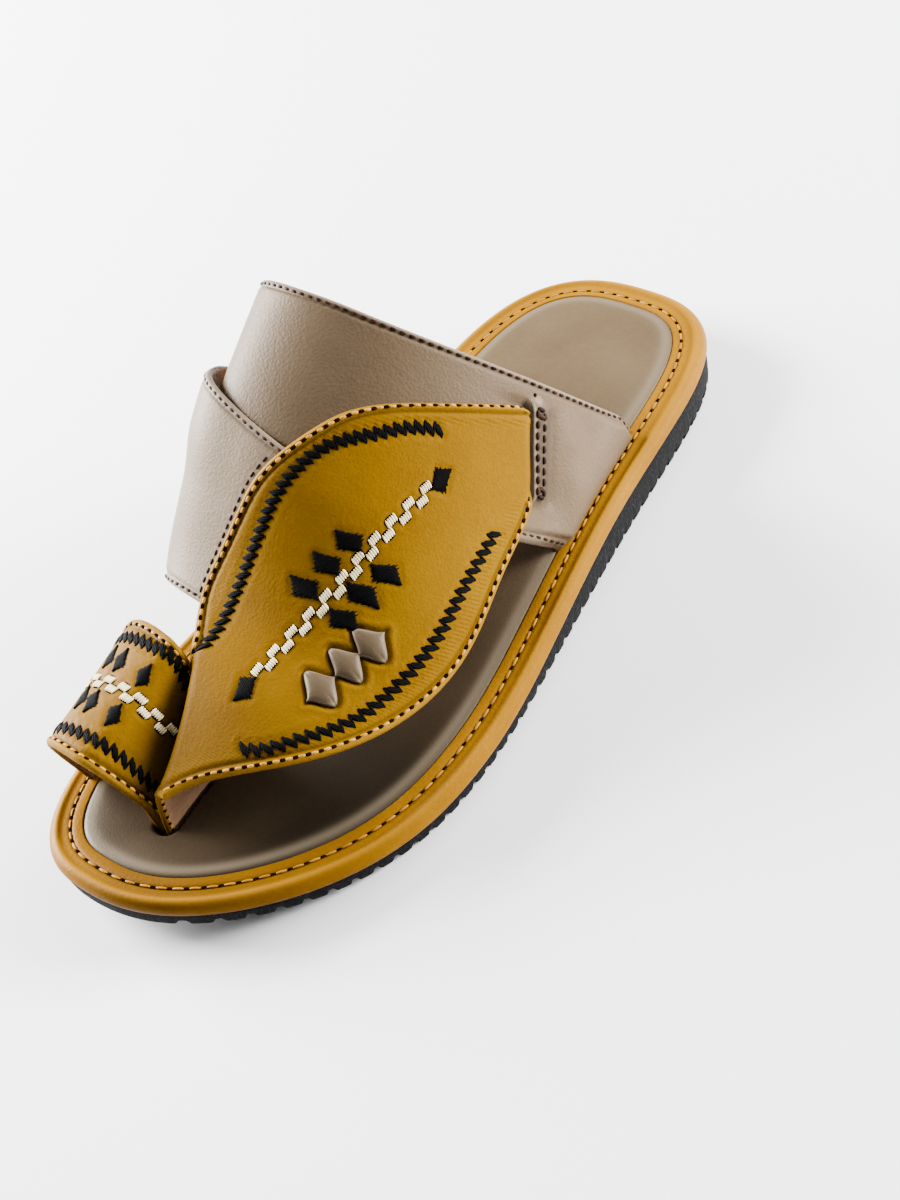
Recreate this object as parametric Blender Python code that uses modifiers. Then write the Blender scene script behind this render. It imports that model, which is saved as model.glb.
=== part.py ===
"""Toe-loop sandal for the left foot, standing empty on its sole.

The toe points to -Y, the big toe lies to -X and +Z is up. All sizes below are in millimetres and
become metres where the meshes are made. The straps, the leaf-shaped vamp and the puffed diamonds
are all cut from one last: arched sections that lean towards the toe, one behind the other.
"""

import bmesh
import bpy
import numpy as np

MM = 0.001
GAP = 0.3                       # clearance between pieces that meet
SMALL = 0.002                   # step for slopes
WELD = 0.01                     # points closer than this are one
SHARP_ANGLE = np.radians(40.0)  # shading breaks where faces meet at more

# Sole, seen from above and from the side
LENGTH = 290.0
MEDIAL_WIDTH = (69.5, 53.0, 42.2, 47.0, 51.3, 55.3)     # from the long axis, heel to toe, even steps
LATERAL_WIDTH = (58.4, 51.5, 57.1, 69.4, 77.1, 68.7)
HEEL_ROUND = 2.61               # superellipse exponents of the two ends
TOE_ROUND = 2.39
FOREFOOT_TOP = 10.4             # flange above the floor at the ball of the foot
HEEL_LIFT = 8.0
LIFT_START, LIFT_RUN = -40.0, 101.0
TOE_SPRING = 9.0
SPRING_START, SPRING_RUN = -61.0, 84.0
AXIS_X = 7.47                   # the frame's origin lies this far to the lateral side of the long axis

# Outsole: ripple lugs across a wedge of dark foam
OUTSOLE_INSET = 0.8
LUG_PITCH = 6.5
PLAIN_TOE, PLAIN_HEEL = 9.0, 7.0                                      # without grooves
GROOVE_DEPTH = 1.8
GROOVE_ROWS = ((-1.2, 0.0), (-0.6, 1.0), (0.6, 1.0), (1.2, 0.0))     # along Y, share of the depth
END_ROWS = (0.1, 0.5, 1.3, 2.6, 4.5)                                  # distances from the tips

# Rand: wrapped midsole with a stitched flange and a rolled bead
RAND_HEIGHT = 5.4
FLANGE_WIDTH = 10.9
RECESS_DEPTH = 2.9
RING_POINTS = 88                # points round each ring of the sole
OUTLINE_POINTS = 360            # and for reading a width from the outline
RAND_PROFILE = (                # inset from the outline, height against the flange
    (0.6, -5.4), (0.0, -4.2), (0.15, -2.8), (0.8, -1.5), (1.9, -0.5), (3.2, -0.1),
    (4.3, -0.7), (5.2, -0.15), (6.8, -0.25), (9.4, 0.05), (10.9, 0.0),
)

# Insole: padded footbed with a rounded rim and a slot for the toe post
INSOLE_PROFILE = ((11.2, -2.6), (11.2, -0.4), (11.8, 0.1), (13.5, 0.6), (17.0, 1.1), (23.0, 1.4))
SLOT_FRONT_Y, SLOT_REAR_Y = -119.0, -86.5
SLOT_DEPTH = 2.6                # how far the toe post's walls reach below the flange
SLOT_WIDTH = 8.4
CUTTER_HEIGHT = 30.0
SLOT_SHIFT = 0.9                # towards the big toe, where the loop's leg leans

# Last: lining face of the upper, in sections that lean towards the toe
SECTION_LEAN = 0.83             # forward per unit of height
SECTION_SKEW = 0.09             # backward per unit towards the medial side
SKEW_X = 40.0
FOOT_HEIGHT = 1.4               # lower edge of the straps above the flange
FOOT_INSET = 12.4               # lining face of the straps at the insole's rim
MEDIAL_SHIFT = 7.0              # a section's medial foot lies this far behind its lateral one
LATERAL_FLARE = 2.5
ROUND = 0.55                    # handle length of a quarter round
MEDIAL_DROP = 0.5               # height of the medial wall's handle, as a share of the crest
LAST = np.array([
    # station, crest x, crest height, medial reach, medial bulge
    (-112.0, 12.0, 11.0, 5.0, 0.0),
    (-87.0, 4.0, 18.5, 10.0, 2.0),
    (-58.0, -7.0, 29.0, 18.0, 4.0),
    (-37.0, -20.0, 34.0, 31.0, 9.0),
    (0.0, -25.0, 52.5, 37.0, 12.0),
    (46.0, -28.0, 73.0, 34.0, 13.0),
    (84.0, -29.0, 86.0, 39.0, 14.0),
])

# Instep straps
STRAP_WALL = 2.4
REAR_STRAP_FRONT, REAR_STRAP_BACK, REAR_STRAP_BOW = 28.0, 84.0, 3.5
REAR_STRAP_TAPER = 7.0          # its back edge comes forward over the medial shoulder
TAPER_ACROSS = (0.8, 1.5)
SIDE_STRAP_FRONT = -37.0
SIDE_STRAP_BACK = ((0.8, 31.0), (1.3, 47.0), (2.0, 56.0))             # across, station
SIDE_STRAP_INNER = (0.89, 0.74)                                       # hidden edge, front and back
CROSSING_LIFT = 1.6             # side strap over the rear strap, sunk a little to join it
CROSSING_RUN = (4.0, 26.0)      # stations over which that lift comes in
SIDE_STRAP_FLARE = 4.5          # its back edge stands off the rear strap over the shoulder
FLARE_START = 0.15              # share of the strap's width
FLARE_ACROSS = (0.95, 1.25, 1.5, 1.95)
SIDE_STRAP_FOOT = 1.985         # its foot stops just short of the rear strap's

# Vamp: leaf with a tab that folds down beside the big toe
VAMP_WALL = 2.4
VAMP_CROSSING_RUN = (2.0, 24.0)     # where the vamp rises over both straps
VAMP_CROSSING_ACROSS = (0.4, 0.7)
VAMP = np.array([
    # station, lateral edge, medial edge, both across the last
    (-106.0, 0.955, 0.99),
    (-84.3, 0.711, 0.99),
    (-64.3, 0.460, 0.987),
    (-49.5, 0.319, 0.983),
    (-27.4, 0.209, 0.955),
    (-9.0, 0.177, 0.925),
    (16.7, 0.177, 0.882),
    (43.1, 0.185, 0.765),
    (58.7, 0.245, 0.633),
    (66.4, 0.276, 0.499),
    (73.5, 0.303, 0.345),
])
VAMP_CROWDING = 1.45            # the leaf's sections lie closer towards its upper end
FOLD_WIDTH = 0.04               # share of the section that bends over the fold
FOLD_SHARE = 0.45               # and no more than this of a narrow section
FOLD_HANDLE = 5.2
TAB_BACK, TAB_RUN = -66.0, 16.0     # the tab's back edge runs up to the leaf over this length
TAB_RISE = 0.45                     # handle of the tab's wall, as a share of its height
TAB_LEAN = 0.25                     # sideways per unit of height, at the tab's back edge
POST_FRONT = (9.8, -116.8)          # lining face of the tab in the slot
POST_BACK = (3.4, -91.0)

# Toe loop
LOOP_WALL = 2.2
LOOP = np.array([
    # lateral foot y, medial foot x, y, crest x, crest height, medial reach, bulge, lean, bow
    (-117.6, -27.6, -114.5, -13.5, 25.0, 20.5, 7.0, 0.0, 6.5),
    (-103.0, -31.0, -99.5, -14.5, 29.5, 25.0, 7.0, -0.12, 3.0),
    (-90.5, -33.4, -85.0, -16.0, 35.0, 30.5, 7.0, -0.21, -5.0),
])
LOOP_LEG_LEAN = 0.36            # the lateral leg leans this share of the way to the crest
LOOP_LEG_RISE = 0.6             # handles of the arch, as shares of its height and half width
LOOP_SHOULDER = 0.42
BOW_START = 0.2                 # across the loop, where its edges begin to bow

# Puffed diamonds in a row on the vamp
PUFF_ACROSS = (0.473, 0.517, 0.562)
PUFF_STATION = (-23.1, -33.6, -45.0)
PUFF_HALF = (6.6, 6.2)          # half diagonals, across the row and along it
PUFF_PRESSED = 4.8              # the second one where neighbours press the corners
PUFF_TURN = np.radians(-25.0)   # of the diagonals against the last's sections
PUFF_HEIGHT = 2.4
PUFF_EDGE = 0.3                 # thickness at the rim
PUFF_FULLNESS = 0.45            # lower is flatter on top with steeper sides
PUFF_STEPS = 7

MUSTARD = (0.50, 0.26, 0.025, 1.0)
TAUPE = (0.20, 0.16, 0.12, 1.0)
FOOTBED = (0.13, 0.105, 0.075, 1.0)
FOAM = (0.012, 0.012, 0.013, 1.0)

# Columns and rows of each sheet's grid
REAR_STRAP_GRID = (46, 8)
SIDE_STRAP_GRID = (20, 11)
VAMP_GRID = (14, 34, 8)         # the last is the fold and the tab
LOOP_GRID = (33, 8)


def spline(knots, values, at):
    """Natural cubic curve through the rows of a table."""
    knots, values, at = (np.asarray(item, float) for item in (knots, values, at))
    count, step = len(knots), np.diff(knots)
    matrix, right = np.eye(count), np.zeros(count)
    slope = np.diff(values) / step
    for i in range(1, count - 1):
        matrix[i, i - 1:i + 2] = step[i - 1], 2 * (step[i - 1] + step[i]), step[i]
        right[i] = 6 * (slope[i] - slope[i - 1])
    bend = np.linalg.solve(matrix, right)
    i = np.clip(np.searchsorted(knots, at) - 1, 0, count - 2)
    a, b = (knots[i + 1] - at) / step[i], (at - knots[i]) / step[i]
    curve = ((a ** 3 - a) * bend[i] + (b ** 3 - b) * bend[i + 1]) * step[i] ** 2 / 6
    return a * values[i] + b * values[i + 1] + curve


def bezier(p0, p1, p2, p3, t):
    """Cubic curve from p0 to p3 with handles p1 and p2."""
    return (1 - t) ** 3 * p0 + 3 * t * (1 - t) ** 2 * p1 + 3 * t * t * (1 - t) * p2 + t ** 3 * p3


def ease(value, start, end):
    """Smooth step from 0 at start to 1 at end."""
    t = np.clip((np.asarray(value, float) - start) / (end - start), 0, 1)
    return t * t * (3 - 2 * t)


def floor_rise(y):
    """Underside of the sole: flat, then curling up under the toes."""
    return TOE_SPRING * np.clip((SPRING_START - np.asarray(y, float)) / SPRING_RUN, 0, None) ** 2


def flange_top(y):
    """Height of the flange: level forefoot, raised heel, toe spring."""
    return FOREFOOT_TOP + HEEL_LIFT * ease(y, LIFT_START, LIFT_START + LIFT_RUN) + floor_rise(y)


def outline(inset, count):
    """Sole outline, moved inwards; point 0 is at the heel and the lateral side comes first."""
    turn = np.arange(count) * 2 * np.pi / count
    c, s = np.cos(turn), np.sin(turn)
    power = 2 / np.where(c >= 0, HEEL_ROUND, TOE_ROUND)
    y = LENGTH / 2 * np.sign(c) * np.abs(c) ** power
    steps = np.linspace(LENGTH / 2, -LENGTH / 2, len(MEDIAL_WIDTH))[::-1]
    lateral = spline(steps, LATERAL_WIDTH[::-1], y)
    medial = spline(steps, MEDIAL_WIDTH[::-1], y)
    x = np.where(s >= 0, lateral, -medial) * np.abs(s) ** power
    along = np.stack([np.roll(x, -1) - np.roll(x, 1), np.roll(y, -1) - np.roll(y, 1)], 1)
    along /= np.linalg.norm(along, axis=1, keepdims=True)
    return np.stack([x, y], 1) + inset * np.stack([along[:, 1], -along[:, 0]], 1)


def edge_x(y, side, inset):
    """X of the inset outline at y, on the lateral (1) or medial (-1) side."""
    points = outline(inset, OUTLINE_POINTS)
    half = points if side > 0 else np.roll(points[::-1], 1, axis=0)
    half = half[:OUTLINE_POINTS // 2 + 1]
    order = half[:, 1].argsort()
    return np.interp(y, half[order, 1], half[order, 0])


def last_face(across, station):
    """Lining face: 0 is the lateral foot of a section, 1 its crest and 2 its medial foot."""
    across, station = np.broadcast_arrays(np.asarray(across, float), np.asarray(station, float))
    crest_x, crest, reach, bulge = (spline(LAST[:, 0], LAST[:, i], station) for i in range(1, 5))
    lateral = edge_x(station, 1, FOOT_INSET)
    medial = edge_x(station + MEDIAL_SHIFT, -1, FOOT_INSET)
    t, m = np.clip(across, 0, 1), np.clip(across - 1, 0, 1)
    shoulder = crest_x + ROUND * (lateral - crest_x)
    x = np.where(across <= 1, bezier(lateral, lateral + LATERAL_FLARE, shoulder, crest_x, t),
                 bezier(crest_x, crest_x - reach, medial - bulge, medial, m))
    height = np.where(across <= 1, bezier(FOOT_HEIGHT, ROUND * crest, crest, crest, t),
                      bezier(crest, crest, MEDIAL_DROP * crest, FOOT_HEIGHT, m))
    y = station - SECTION_LEAN * height - SECTION_SKEW * (x - SKEW_X)
    return np.stack([x, y, flange_top(y) + height], -1)


def last(across, station, lift=0.0):
    """Point on the last, lifted along its outward normal."""
    across, station = np.broadcast_arrays(np.asarray(across, float), np.asarray(station, float))
    ahead, behind = np.clip(across + SMALL, 0, 2), np.clip(across - SMALL, 0, 2)
    du = last_face(ahead, station) - last_face(behind, station)
    ds = last_face(across, station + SMALL) - last_face(across, station - SMALL)
    normal = np.cross(ds, du)
    normal /= np.linalg.norm(normal, axis=-1, keepdims=True)
    return last_face(across, station) + normal * np.broadcast_to(lift, across.shape)[..., None]


def rear_strap_face(columns, rows):
    """Broad strap over the instep, from the lateral to the medial side of the sole."""
    lateral = np.linspace(0, 1, columns // 2 + 1)[:-1]
    across, v = np.meshgrid(np.r_[lateral, np.linspace(1, 2, columns - columns // 2)],
                            np.linspace(0, 1, rows), indexing="ij")
    back = REAR_STRAP_BACK + REAR_STRAP_BOW * np.sin(across * np.pi / 2)
    back = back - REAR_STRAP_TAPER * ease(across, *TAPER_ACROSS)
    return last(across, REAR_STRAP_FRONT + v * (back - REAR_STRAP_FRONT))


def side_strap_face(columns, rows):
    """Medial strap that climbs from the sole, crosses the rear strap and ends below the vamp."""
    w, v = np.meshgrid(np.linspace(0, 1, columns), np.linspace(0, 1, rows), indexing="ij")
    inner = SIDE_STRAP_INNER[0] + (SIDE_STRAP_INNER[1] - SIDE_STRAP_INNER[0]) * v
    across = inner + (SIDE_STRAP_FOOT - inner) * w
    back = np.interp(across, *np.transpose(SIDE_STRAP_BACK))
    station = SIDE_STRAP_FRONT + v * (back - SIDE_STRAP_FRONT)
    lift = CROSSING_LIFT * ease(station, *CROSSING_RUN)
    rising = ease(across, *FLARE_ACROSS[:2]) * (1 - ease(across, *FLARE_ACROSS[2:]))
    flare = SIDE_STRAP_FLARE * ease(v, FLARE_START, 1.0) * rising
    return last(across, station, lift + flare)


def vamp_lift(across, station):
    """Clearance of the vamp over one strap wall, or over both where they cross."""
    crossing = ease(station, *VAMP_CROSSING_RUN) * ease(across, *VAMP_CROSSING_ACROSS)
    return STRAP_WALL + GAP + CROSSING_LIFT * crossing


def vamp_face(across, station):
    """Lining face of the vamp's leaf."""
    return last(across, station, vamp_lift(across, station))


def post_x(y):
    """Lining face of the tab along the slot."""
    share = (y - POST_FRONT[1]) / (POST_BACK[1] - POST_FRONT[1])
    return POST_FRONT[0] + share * (POST_BACK[0] - POST_FRONT[0])


def post_cosine():
    """Cosine of the slot's slant against the Y axis."""
    run_x, run_y = POST_BACK[0] - POST_FRONT[0], POST_BACK[1] - POST_FRONT[1]
    return run_y / np.hypot(run_x, run_y)


def vamp_surface(columns, rows, fold_columns):
    """Leaf of the vamp, then the fold and the tab that goes down into the slot."""
    ahead = np.linspace(1, 0, rows) ** VAMP_CROWDING
    station = VAMP[-1, 0] + (VAMP[0, 0] - VAMP[-1, 0]) * ahead
    lateral = spline(VAMP[:, 0], VAMP[:, 1], station)
    medial = spline(VAMP[:, 0], VAMP[:, 2], station)
    fold = medial - np.minimum(FOLD_WIDTH, FOLD_SHARE * (medial - lateral))
    t = np.linspace(0, 1, columns)[:, None]
    leaf = vamp_face(lateral + (fold - lateral) * t, station)
    t = np.linspace(0, 1, fold_columns)[1:, None]
    strip = vamp_face(fold + (medial - fold) * t, station)
    run = strip[0] - leaf[-1]
    handle = leaf[-1] + FOLD_HANDLE * run / np.linalg.norm(run, axis=-1, keepdims=True)
    foot_y = np.interp(station, (VAMP[0, 0], TAB_BACK), (POST_FRONT[1], POST_BACK[1]))
    foot = np.stack([post_x(foot_y), foot_y, flange_top(foot_y) - SLOT_DEPTH], -1)
    rise = TAB_RISE * (handle - foot)[:, 2]
    lean = TAB_LEAN * ease(station, VAMP[0, 0], TAB_BACK)
    above = foot + np.stack([lean * rise, 0 * rise, rise], -1)
    tab = bezier(leaf[-1], handle, above, foot, t[..., None])
    leaf_share = ease(station, TAB_BACK, TAB_BACK + TAB_RUN)[:, None]
    return np.concatenate([leaf, tab + (strip - tab) * leaf_share])


def loop_face(columns, rows):
    """Lining face of the toe loop: an arch from the slot to the medial rim of the insole."""
    across, v = np.meshgrid(np.linspace(0, 2, columns), np.linspace(0, 2, rows), indexing="ij")
    foot_y, rim_x, rim_y, crest_x, crest, reach, bulge, lean, bow = (
        spline(range(len(LOOP)), LOOP[:, i], v) for i in range(LOOP.shape[1]))
    foot_x = post_x(foot_y) - (VAMP_WALL + LOOP_WALL + GAP) / post_cosine()
    t, m = np.clip(across, 0, 1), np.clip(across - 1, 0, 1)
    leg = foot_x + LOOP_LEG_LEAN * (crest_x - foot_x)
    shoulder = crest_x + LOOP_SHOULDER * (foot_x - crest_x)
    x = np.where(across <= 1, bezier(foot_x, leg, shoulder, crest_x, t),
                 bezier(crest_x, crest_x - reach, rim_x - bulge, rim_x, m))
    height = np.where(across <= 1, bezier(-SLOT_DEPTH, LOOP_LEG_RISE * crest, crest, crest, t),
                      bezier(crest, crest, MEDIAL_DROP * crest, FOOT_HEIGHT, m))
    y = foot_y + (rim_y - foot_y) * (x - foot_x) / (rim_x - foot_x) - lean * height
    y = y - bow * np.sin(np.pi * np.clip((across - BOW_START) / (2 - BOW_START), 0, 1))
    return np.stack([x, y, flange_top(y) + height], -1)


def material(name, colour, roughness):
    """Plain Principled material."""
    made = bpy.data.materials.new(name)
    made.use_nodes = True
    shader = made.node_tree.nodes["Principled BSDF"]
    shader.inputs["Base Color"].default_value = colour
    shader.inputs["Roughness"].default_value = roughness
    made.diffuse_color = colour
    return made


def add_object(name, points, faces, collection, finish):
    """Mesh object with its faces turned outwards, in metres and about the frame's origin."""
    mesh = bpy.data.meshes.new(name)
    places = (np.asarray(points).reshape(-1, 3) - (AXIS_X, 0.0, 0.0)) * MM
    mesh.from_pydata(places.tolist(), [], faces)
    work = bmesh.new()
    work.from_mesh(mesh)
    bmesh.ops.remove_doubles(work, verts=work.verts, dist=WELD * MM)
    bmesh.ops.recalc_face_normals(work, faces=work.faces)
    work.to_mesh(mesh)
    work.free()
    mesh.shade_smooth()
    mesh.set_sharp_from_angle(angle=SHARP_ANGLE)
    made = bpy.data.objects.new(name, mesh)
    if finish:
        mesh.materials.append(finish)
    collection.objects.link(made)
    return made


def grid_faces(columns, rows):
    """Quads of a grid whose points run row by row inside each column."""
    return [(i * rows + j, (i + 1) * rows + j, (i + 1) * rows + j + 1, i * rows + j + 1)
            for i in range(columns - 1) for j in range(rows - 1)]


def add_shell(name, face, wall, collection, finish):
    """Open sheet over a grid of points, given its wall on the outward side."""
    columns, rows = face.shape[:2]
    mesh = bpy.data.meshes.new(name)
    places = (face.reshape(-1, 3) - (AXIS_X, 0.0, 0.0)) * MM
    mesh.from_pydata(places.tolist(), [], [quad[::-1] for quad in grid_faces(columns, rows)])
    mesh.shade_smooth()
    made = bpy.data.objects.new(name, mesh)
    if finish:
        mesh.materials.append(finish)
    collection.objects.link(made)
    solid = made.modifiers.new("wall", "SOLIDIFY")
    solid.thickness = wall * MM
    solid.offset = 1.0
    solid.use_even_offset = True
    solid.use_quality_normals = True
    return made


def ring_faces(rings, count):
    """Quads between rings of the outline, and strips across the first and the last ring."""
    number = np.arange(rings * count).reshape(rings, count)
    after = np.roll(number, -1, axis=1)
    sides = np.stack([number[:-1], after[:-1], after[1:], number[1:]], -1).reshape(-1, 4)
    faces = [tuple(quad) for quad in sides.tolist()]
    for ring in (number[0].tolist(), number[-1].tolist()):
        for i in range(count // 2):
            strip = (ring[i], ring[i + 1], ring[count - i - 1], ring[-i])
            faces.append(tuple(dict.fromkeys(strip)))
    return faces


def add_ringed(name, profile, collection, finish):
    """Plate of the sole whose rim follows a profile of insets and heights."""
    rings = []
    for inset, height in profile:
        flat = outline(inset, RING_POINTS)
        rings.append(np.c_[flat, flange_top(flat[:, 1]) + height])
    return add_object(name, rings, ring_faces(len(rings), RING_POINTS), collection, finish)


def add_outsole(collection, finish):
    """Wedge of foam with grooves across its underside, which notch its lower edge."""
    reach = LENGTH / 2 - OUTSOLE_INSET
    centres = np.arange(-reach + PLAIN_TOE, reach - PLAIN_HEEL, LUG_PITCH)
    rows = [(centre + shift, share) for centre in centres for shift, share in GROOVE_ROWS]
    rows += [(sign * (reach - end), 0.0) for sign in (-1, 1) for end in END_ROWS]
    y, share = np.array(sorted(rows)).T
    left, right = edge_x(y, -1, OUTSOLE_INSET), edge_x(y, 1, OUTSOLE_INSET)
    low = floor_rise(y) + GROOVE_DEPTH * share
    high = flange_top(y) - RAND_HEIGHT - GAP
    corners = [np.c_[left, y, low], np.c_[right, y, low], np.c_[right, y, high], np.c_[left, y, high]]
    count = len(y)
    faces = [(c * count + i, c * count + i + 1, (c + 1) % 4 * count + i + 1, (c + 1) % 4 * count + i)
             for c in range(4) for i in range(count - 1)]
    faces += [tuple(c * count + i for c in range(4)) for i in (0, count - 1)]
    return add_object("outsole", corners, faces, collection, finish)


def add_slot_cutter(collection):
    """Slanted box that cuts the toe post's slot through the insole."""
    bpy.ops.mesh.primitive_cube_add(size=1.0)
    box = bpy.context.object
    box.name = "slot_cutter"
    run_x = POST_FRONT[0] - POST_BACK[0]
    run_y = POST_FRONT[1] - POST_BACK[1]
    middle_x = (POST_FRONT[0] + POST_BACK[0] - LOOP_WALL - GAP - VAMP_WALL) / 2 - SLOT_SHIFT
    box.location = ((middle_x - AXIS_X) * MM, (SLOT_FRONT_Y + SLOT_REAR_Y) / 2 * MM, FOREFOOT_TOP * MM)
    box.scale = (SLOT_WIDTH * MM, (SLOT_REAR_Y - SLOT_FRONT_Y) * MM, CUTTER_HEIGHT * MM)
    box.rotation_euler = (0.0, 0.0, -np.arctan2(run_x, run_y) + np.pi)
    for old in list(box.users_collection):
        old.objects.unlink(box)
    collection.objects.link(box)
    return hide_cutter(box)


def hide_cutter(cutter):
    """Mark an object as a guide that isn't part of the sandal."""
    cutter.hide_render = True
    cutter.display_type = "WIRE"
    return cutter


def add_boolean(target, other, operation):
    """Cut or join a mesh with another."""
    change = target.modifiers.new(operation.lower(), "BOOLEAN")
    change.operation = operation
    change.object = other


def add_puff(name, across, station, collection, finish):
    """Stuffed diamond on the vamp: a pillow whose height falls to its four sides."""
    steps = np.linspace(-1, 1, PUFF_STEPS)
    a, b = np.meshgrid(steps, steps, indexing="ij")
    dome = PUFF_HEIGHT * ((1 - a ** 2) * (1 - b ** 2)) ** PUFF_FULLNESS
    wide, long = (a + b) / 2 * PUFF_HALF[0], (a - b) / 2 * PUFF_HALF[1]
    long = long - (PUFF_HALF[1] - PUFF_PRESSED) * np.sign(long) * (long / PUFF_HALF[1]) ** 2
    cosine, sine = np.cos(PUFF_TURN), np.sin(PUFF_TURN)
    middle = vamp_face(across, station)
    step_u = np.linalg.norm(vamp_face(across + SMALL, station) - middle) / SMALL
    step_s = np.linalg.norm(vamp_face(across, station + SMALL) - middle) / SMALL
    u = across + (long * sine - wide * cosine) / step_u
    s = station + (wide * sine + long * cosine) / step_s
    seat = vamp_lift(u, s) + VAMP_WALL + GAP
    sheets = [last(u, s, seat), last(u, s, seat + PUFF_EDGE + dome)]
    quads = grid_faces(PUFF_STEPS, PUFF_STEPS)
    top = PUFF_STEPS ** 2
    faces = quads + [tuple(point + top for point in quad) for quad in quads]
    number = np.arange(top).reshape(PUFF_STEPS, PUFF_STEPS)
    rim = [*number[:-1, 0], *number[-1, :-1], *number[:0:-1, -1], *number[0, :0:-1]]
    faces += [(int(i), int(j), int(j) + top, int(i) + top) for i, j in zip(rim, rim[1:] + rim[:1])]
    return add_object(name, sheets, faces, collection, finish)


def main():
    for old in list(bpy.data.objects):
        bpy.data.objects.remove(old, do_unlink=True)
    parts = bpy.data.collections.new("toe_loop_sandal")
    cutters = bpy.data.collections.new("cutters")
    bpy.context.scene.collection.children.link(parts)
    bpy.context.scene.collection.children.link(cutters)

    add_outsole(parts, material("outsole_foam", FOAM, 0.85))
    recess = (FLANGE_WIDTH, -RECESS_DEPTH)
    add_ringed("rand", RAND_PROFILE + (recess,), parts, material("rand_leather", MUSTARD, 0.45))
    insole = add_ringed("insole", INSOLE_PROFILE, parts, material("insole_leather", FOOTBED, 0.5))
    add_boolean(insole, add_slot_cutter(cutters), "DIFFERENCE")

    strap_leather = material("strap_leather", TAUPE, 0.45)
    straps = add_shell("instep_straps", rear_strap_face(*REAR_STRAP_GRID), STRAP_WALL, parts, strap_leather)
    side = add_shell("side_strap_form", side_strap_face(*SIDE_STRAP_GRID), STRAP_WALL, cutters, None)
    add_boolean(straps, hide_cutter(side), "UNION")
    add_shell("vamp", vamp_surface(*VAMP_GRID), VAMP_WALL, parts, material("vamp_leather", MUSTARD, 0.4))
    add_shell("toe_loop", loop_face(*LOOP_GRID), LOOP_WALL, parts, material("loop_leather", MUSTARD, 0.4))
    for number, (across, station) in enumerate(zip(PUFF_ACROSS, PUFF_STATION), 1):
        puff_leather = material("puff_leather_%d" % number, TAUPE, 0.4)
        add_puff("vamp_puff_%d" % number, across, station, parts, puff_leather)


main()
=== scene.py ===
"""Looks of a toe-loop sandal for the left foot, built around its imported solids.

The toe points to -Y, the big toe lies to -X and +Z is up. Shapes are worked out in millimetres about
the sole's long axis, and become metres in the frame where the meshes are made.
"""

import functools

import bmesh
import bpy
import numpy as np
from mathutils import Matrix


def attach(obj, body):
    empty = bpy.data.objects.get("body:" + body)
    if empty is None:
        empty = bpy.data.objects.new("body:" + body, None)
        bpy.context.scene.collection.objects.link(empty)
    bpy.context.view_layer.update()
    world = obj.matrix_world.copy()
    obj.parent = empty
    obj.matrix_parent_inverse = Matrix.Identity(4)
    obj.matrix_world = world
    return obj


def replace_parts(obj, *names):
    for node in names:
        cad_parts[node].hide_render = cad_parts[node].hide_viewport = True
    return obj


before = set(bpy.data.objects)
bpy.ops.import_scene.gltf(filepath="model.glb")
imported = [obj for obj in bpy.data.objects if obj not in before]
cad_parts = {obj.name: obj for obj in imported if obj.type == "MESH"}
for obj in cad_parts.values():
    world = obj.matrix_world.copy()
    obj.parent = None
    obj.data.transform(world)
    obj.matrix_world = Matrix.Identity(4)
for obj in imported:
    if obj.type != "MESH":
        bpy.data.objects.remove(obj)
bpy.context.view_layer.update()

MM = 0.001
GAP = 0.3  # clearance between the solids that meet
SMALL = 0.002  # step for slopes across a sheet
ROW_STEP = 0.2  # and along the last
WELD = 0.002  # points closer than this are one

# Sole, the same sizes as the solids have
LENGTH = 290.0
MEDIAL_WIDTH = (69.5, 53.0, 42.2, 47.0, 51.3, 55.3)  # from the long axis, heel to toe, even steps
LATERAL_WIDTH = (58.4, 51.5, 57.1, 69.4, 77.1, 68.7)
HEEL_ROUND = 2.61  # superellipse exponents of the two ends
TOE_ROUND = 2.39
FOREFOOT_TOP = 10.4  # flange above the floor at the ball of the foot
HEEL_LIFT = 8.0
LIFT_START, LIFT_RUN = -40.0, 101.0
TOE_SPRING = 9.0
SPRING_START, SPRING_RUN = -61.0, 84.0
AXIS_X = 7.47  # the frame's origin lies this far to the lateral side of the long axis
OUTLINE_POINTS = 2880
RING_POINTS = 720
OUTSOLE_INSET = 0.8
LUG_PITCH = 6.5
PLAIN_TOE, PLAIN_HEEL = 9.0, 7.0
GROOVE_DEPTH = 1.8
GROOVE_HALF = (0.5, 1.6)  # half width at the bottom of a groove and at its mouth
OUTSOLE_SIDE = ((0.3, 1.0), (0.0, 0.8), (0.0, 0.5), (0.15, 0.25), (0.4, 0.1), (1.1, 0.0))  # inset, rise
OUTSOLE_FLOOR = (0.35, 0.65)  # shares across its underside
RAND_HEIGHT = 5.4
RAND_PROFILE = (  # inset from the outline, height against the flange
    (0.6, -5.4), (0.0, -4.2), (0.15, -2.8), (0.8, -1.5), (1.9, -0.5), (3.2, -0.1),
    (4.4, -0.5), (5.4, -0.5), (6.8, -0.3), (9.4, 0.05), (10.9, 0.0),
)
RAND_FLOOR = ((11.3, -0.6), (11.5, -2.0), (12.5, -2.9), (16.0, -2.9))  # under the insole
RAND_SEAM_INSET = (7.1, 8.3)  # at the toe and at the heel
SCUFFS = ((298.0, 11.0, 0.7, 0.5), (265.0, 3.0, 0.6, 0.35))  # ring point, run, width, strength
INSOLE_PROFILE = ((11.2, -2.6), (11.2, -0.4), (11.8, 0.1), (13.5, 0.6), (17.0, 1.1), (23.0, 1.4))
SLOT_HALF = (2.4, 4.6)  # half width of the slot's bottom and of its mouth
SLOT_DEPTH = 2.6

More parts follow.
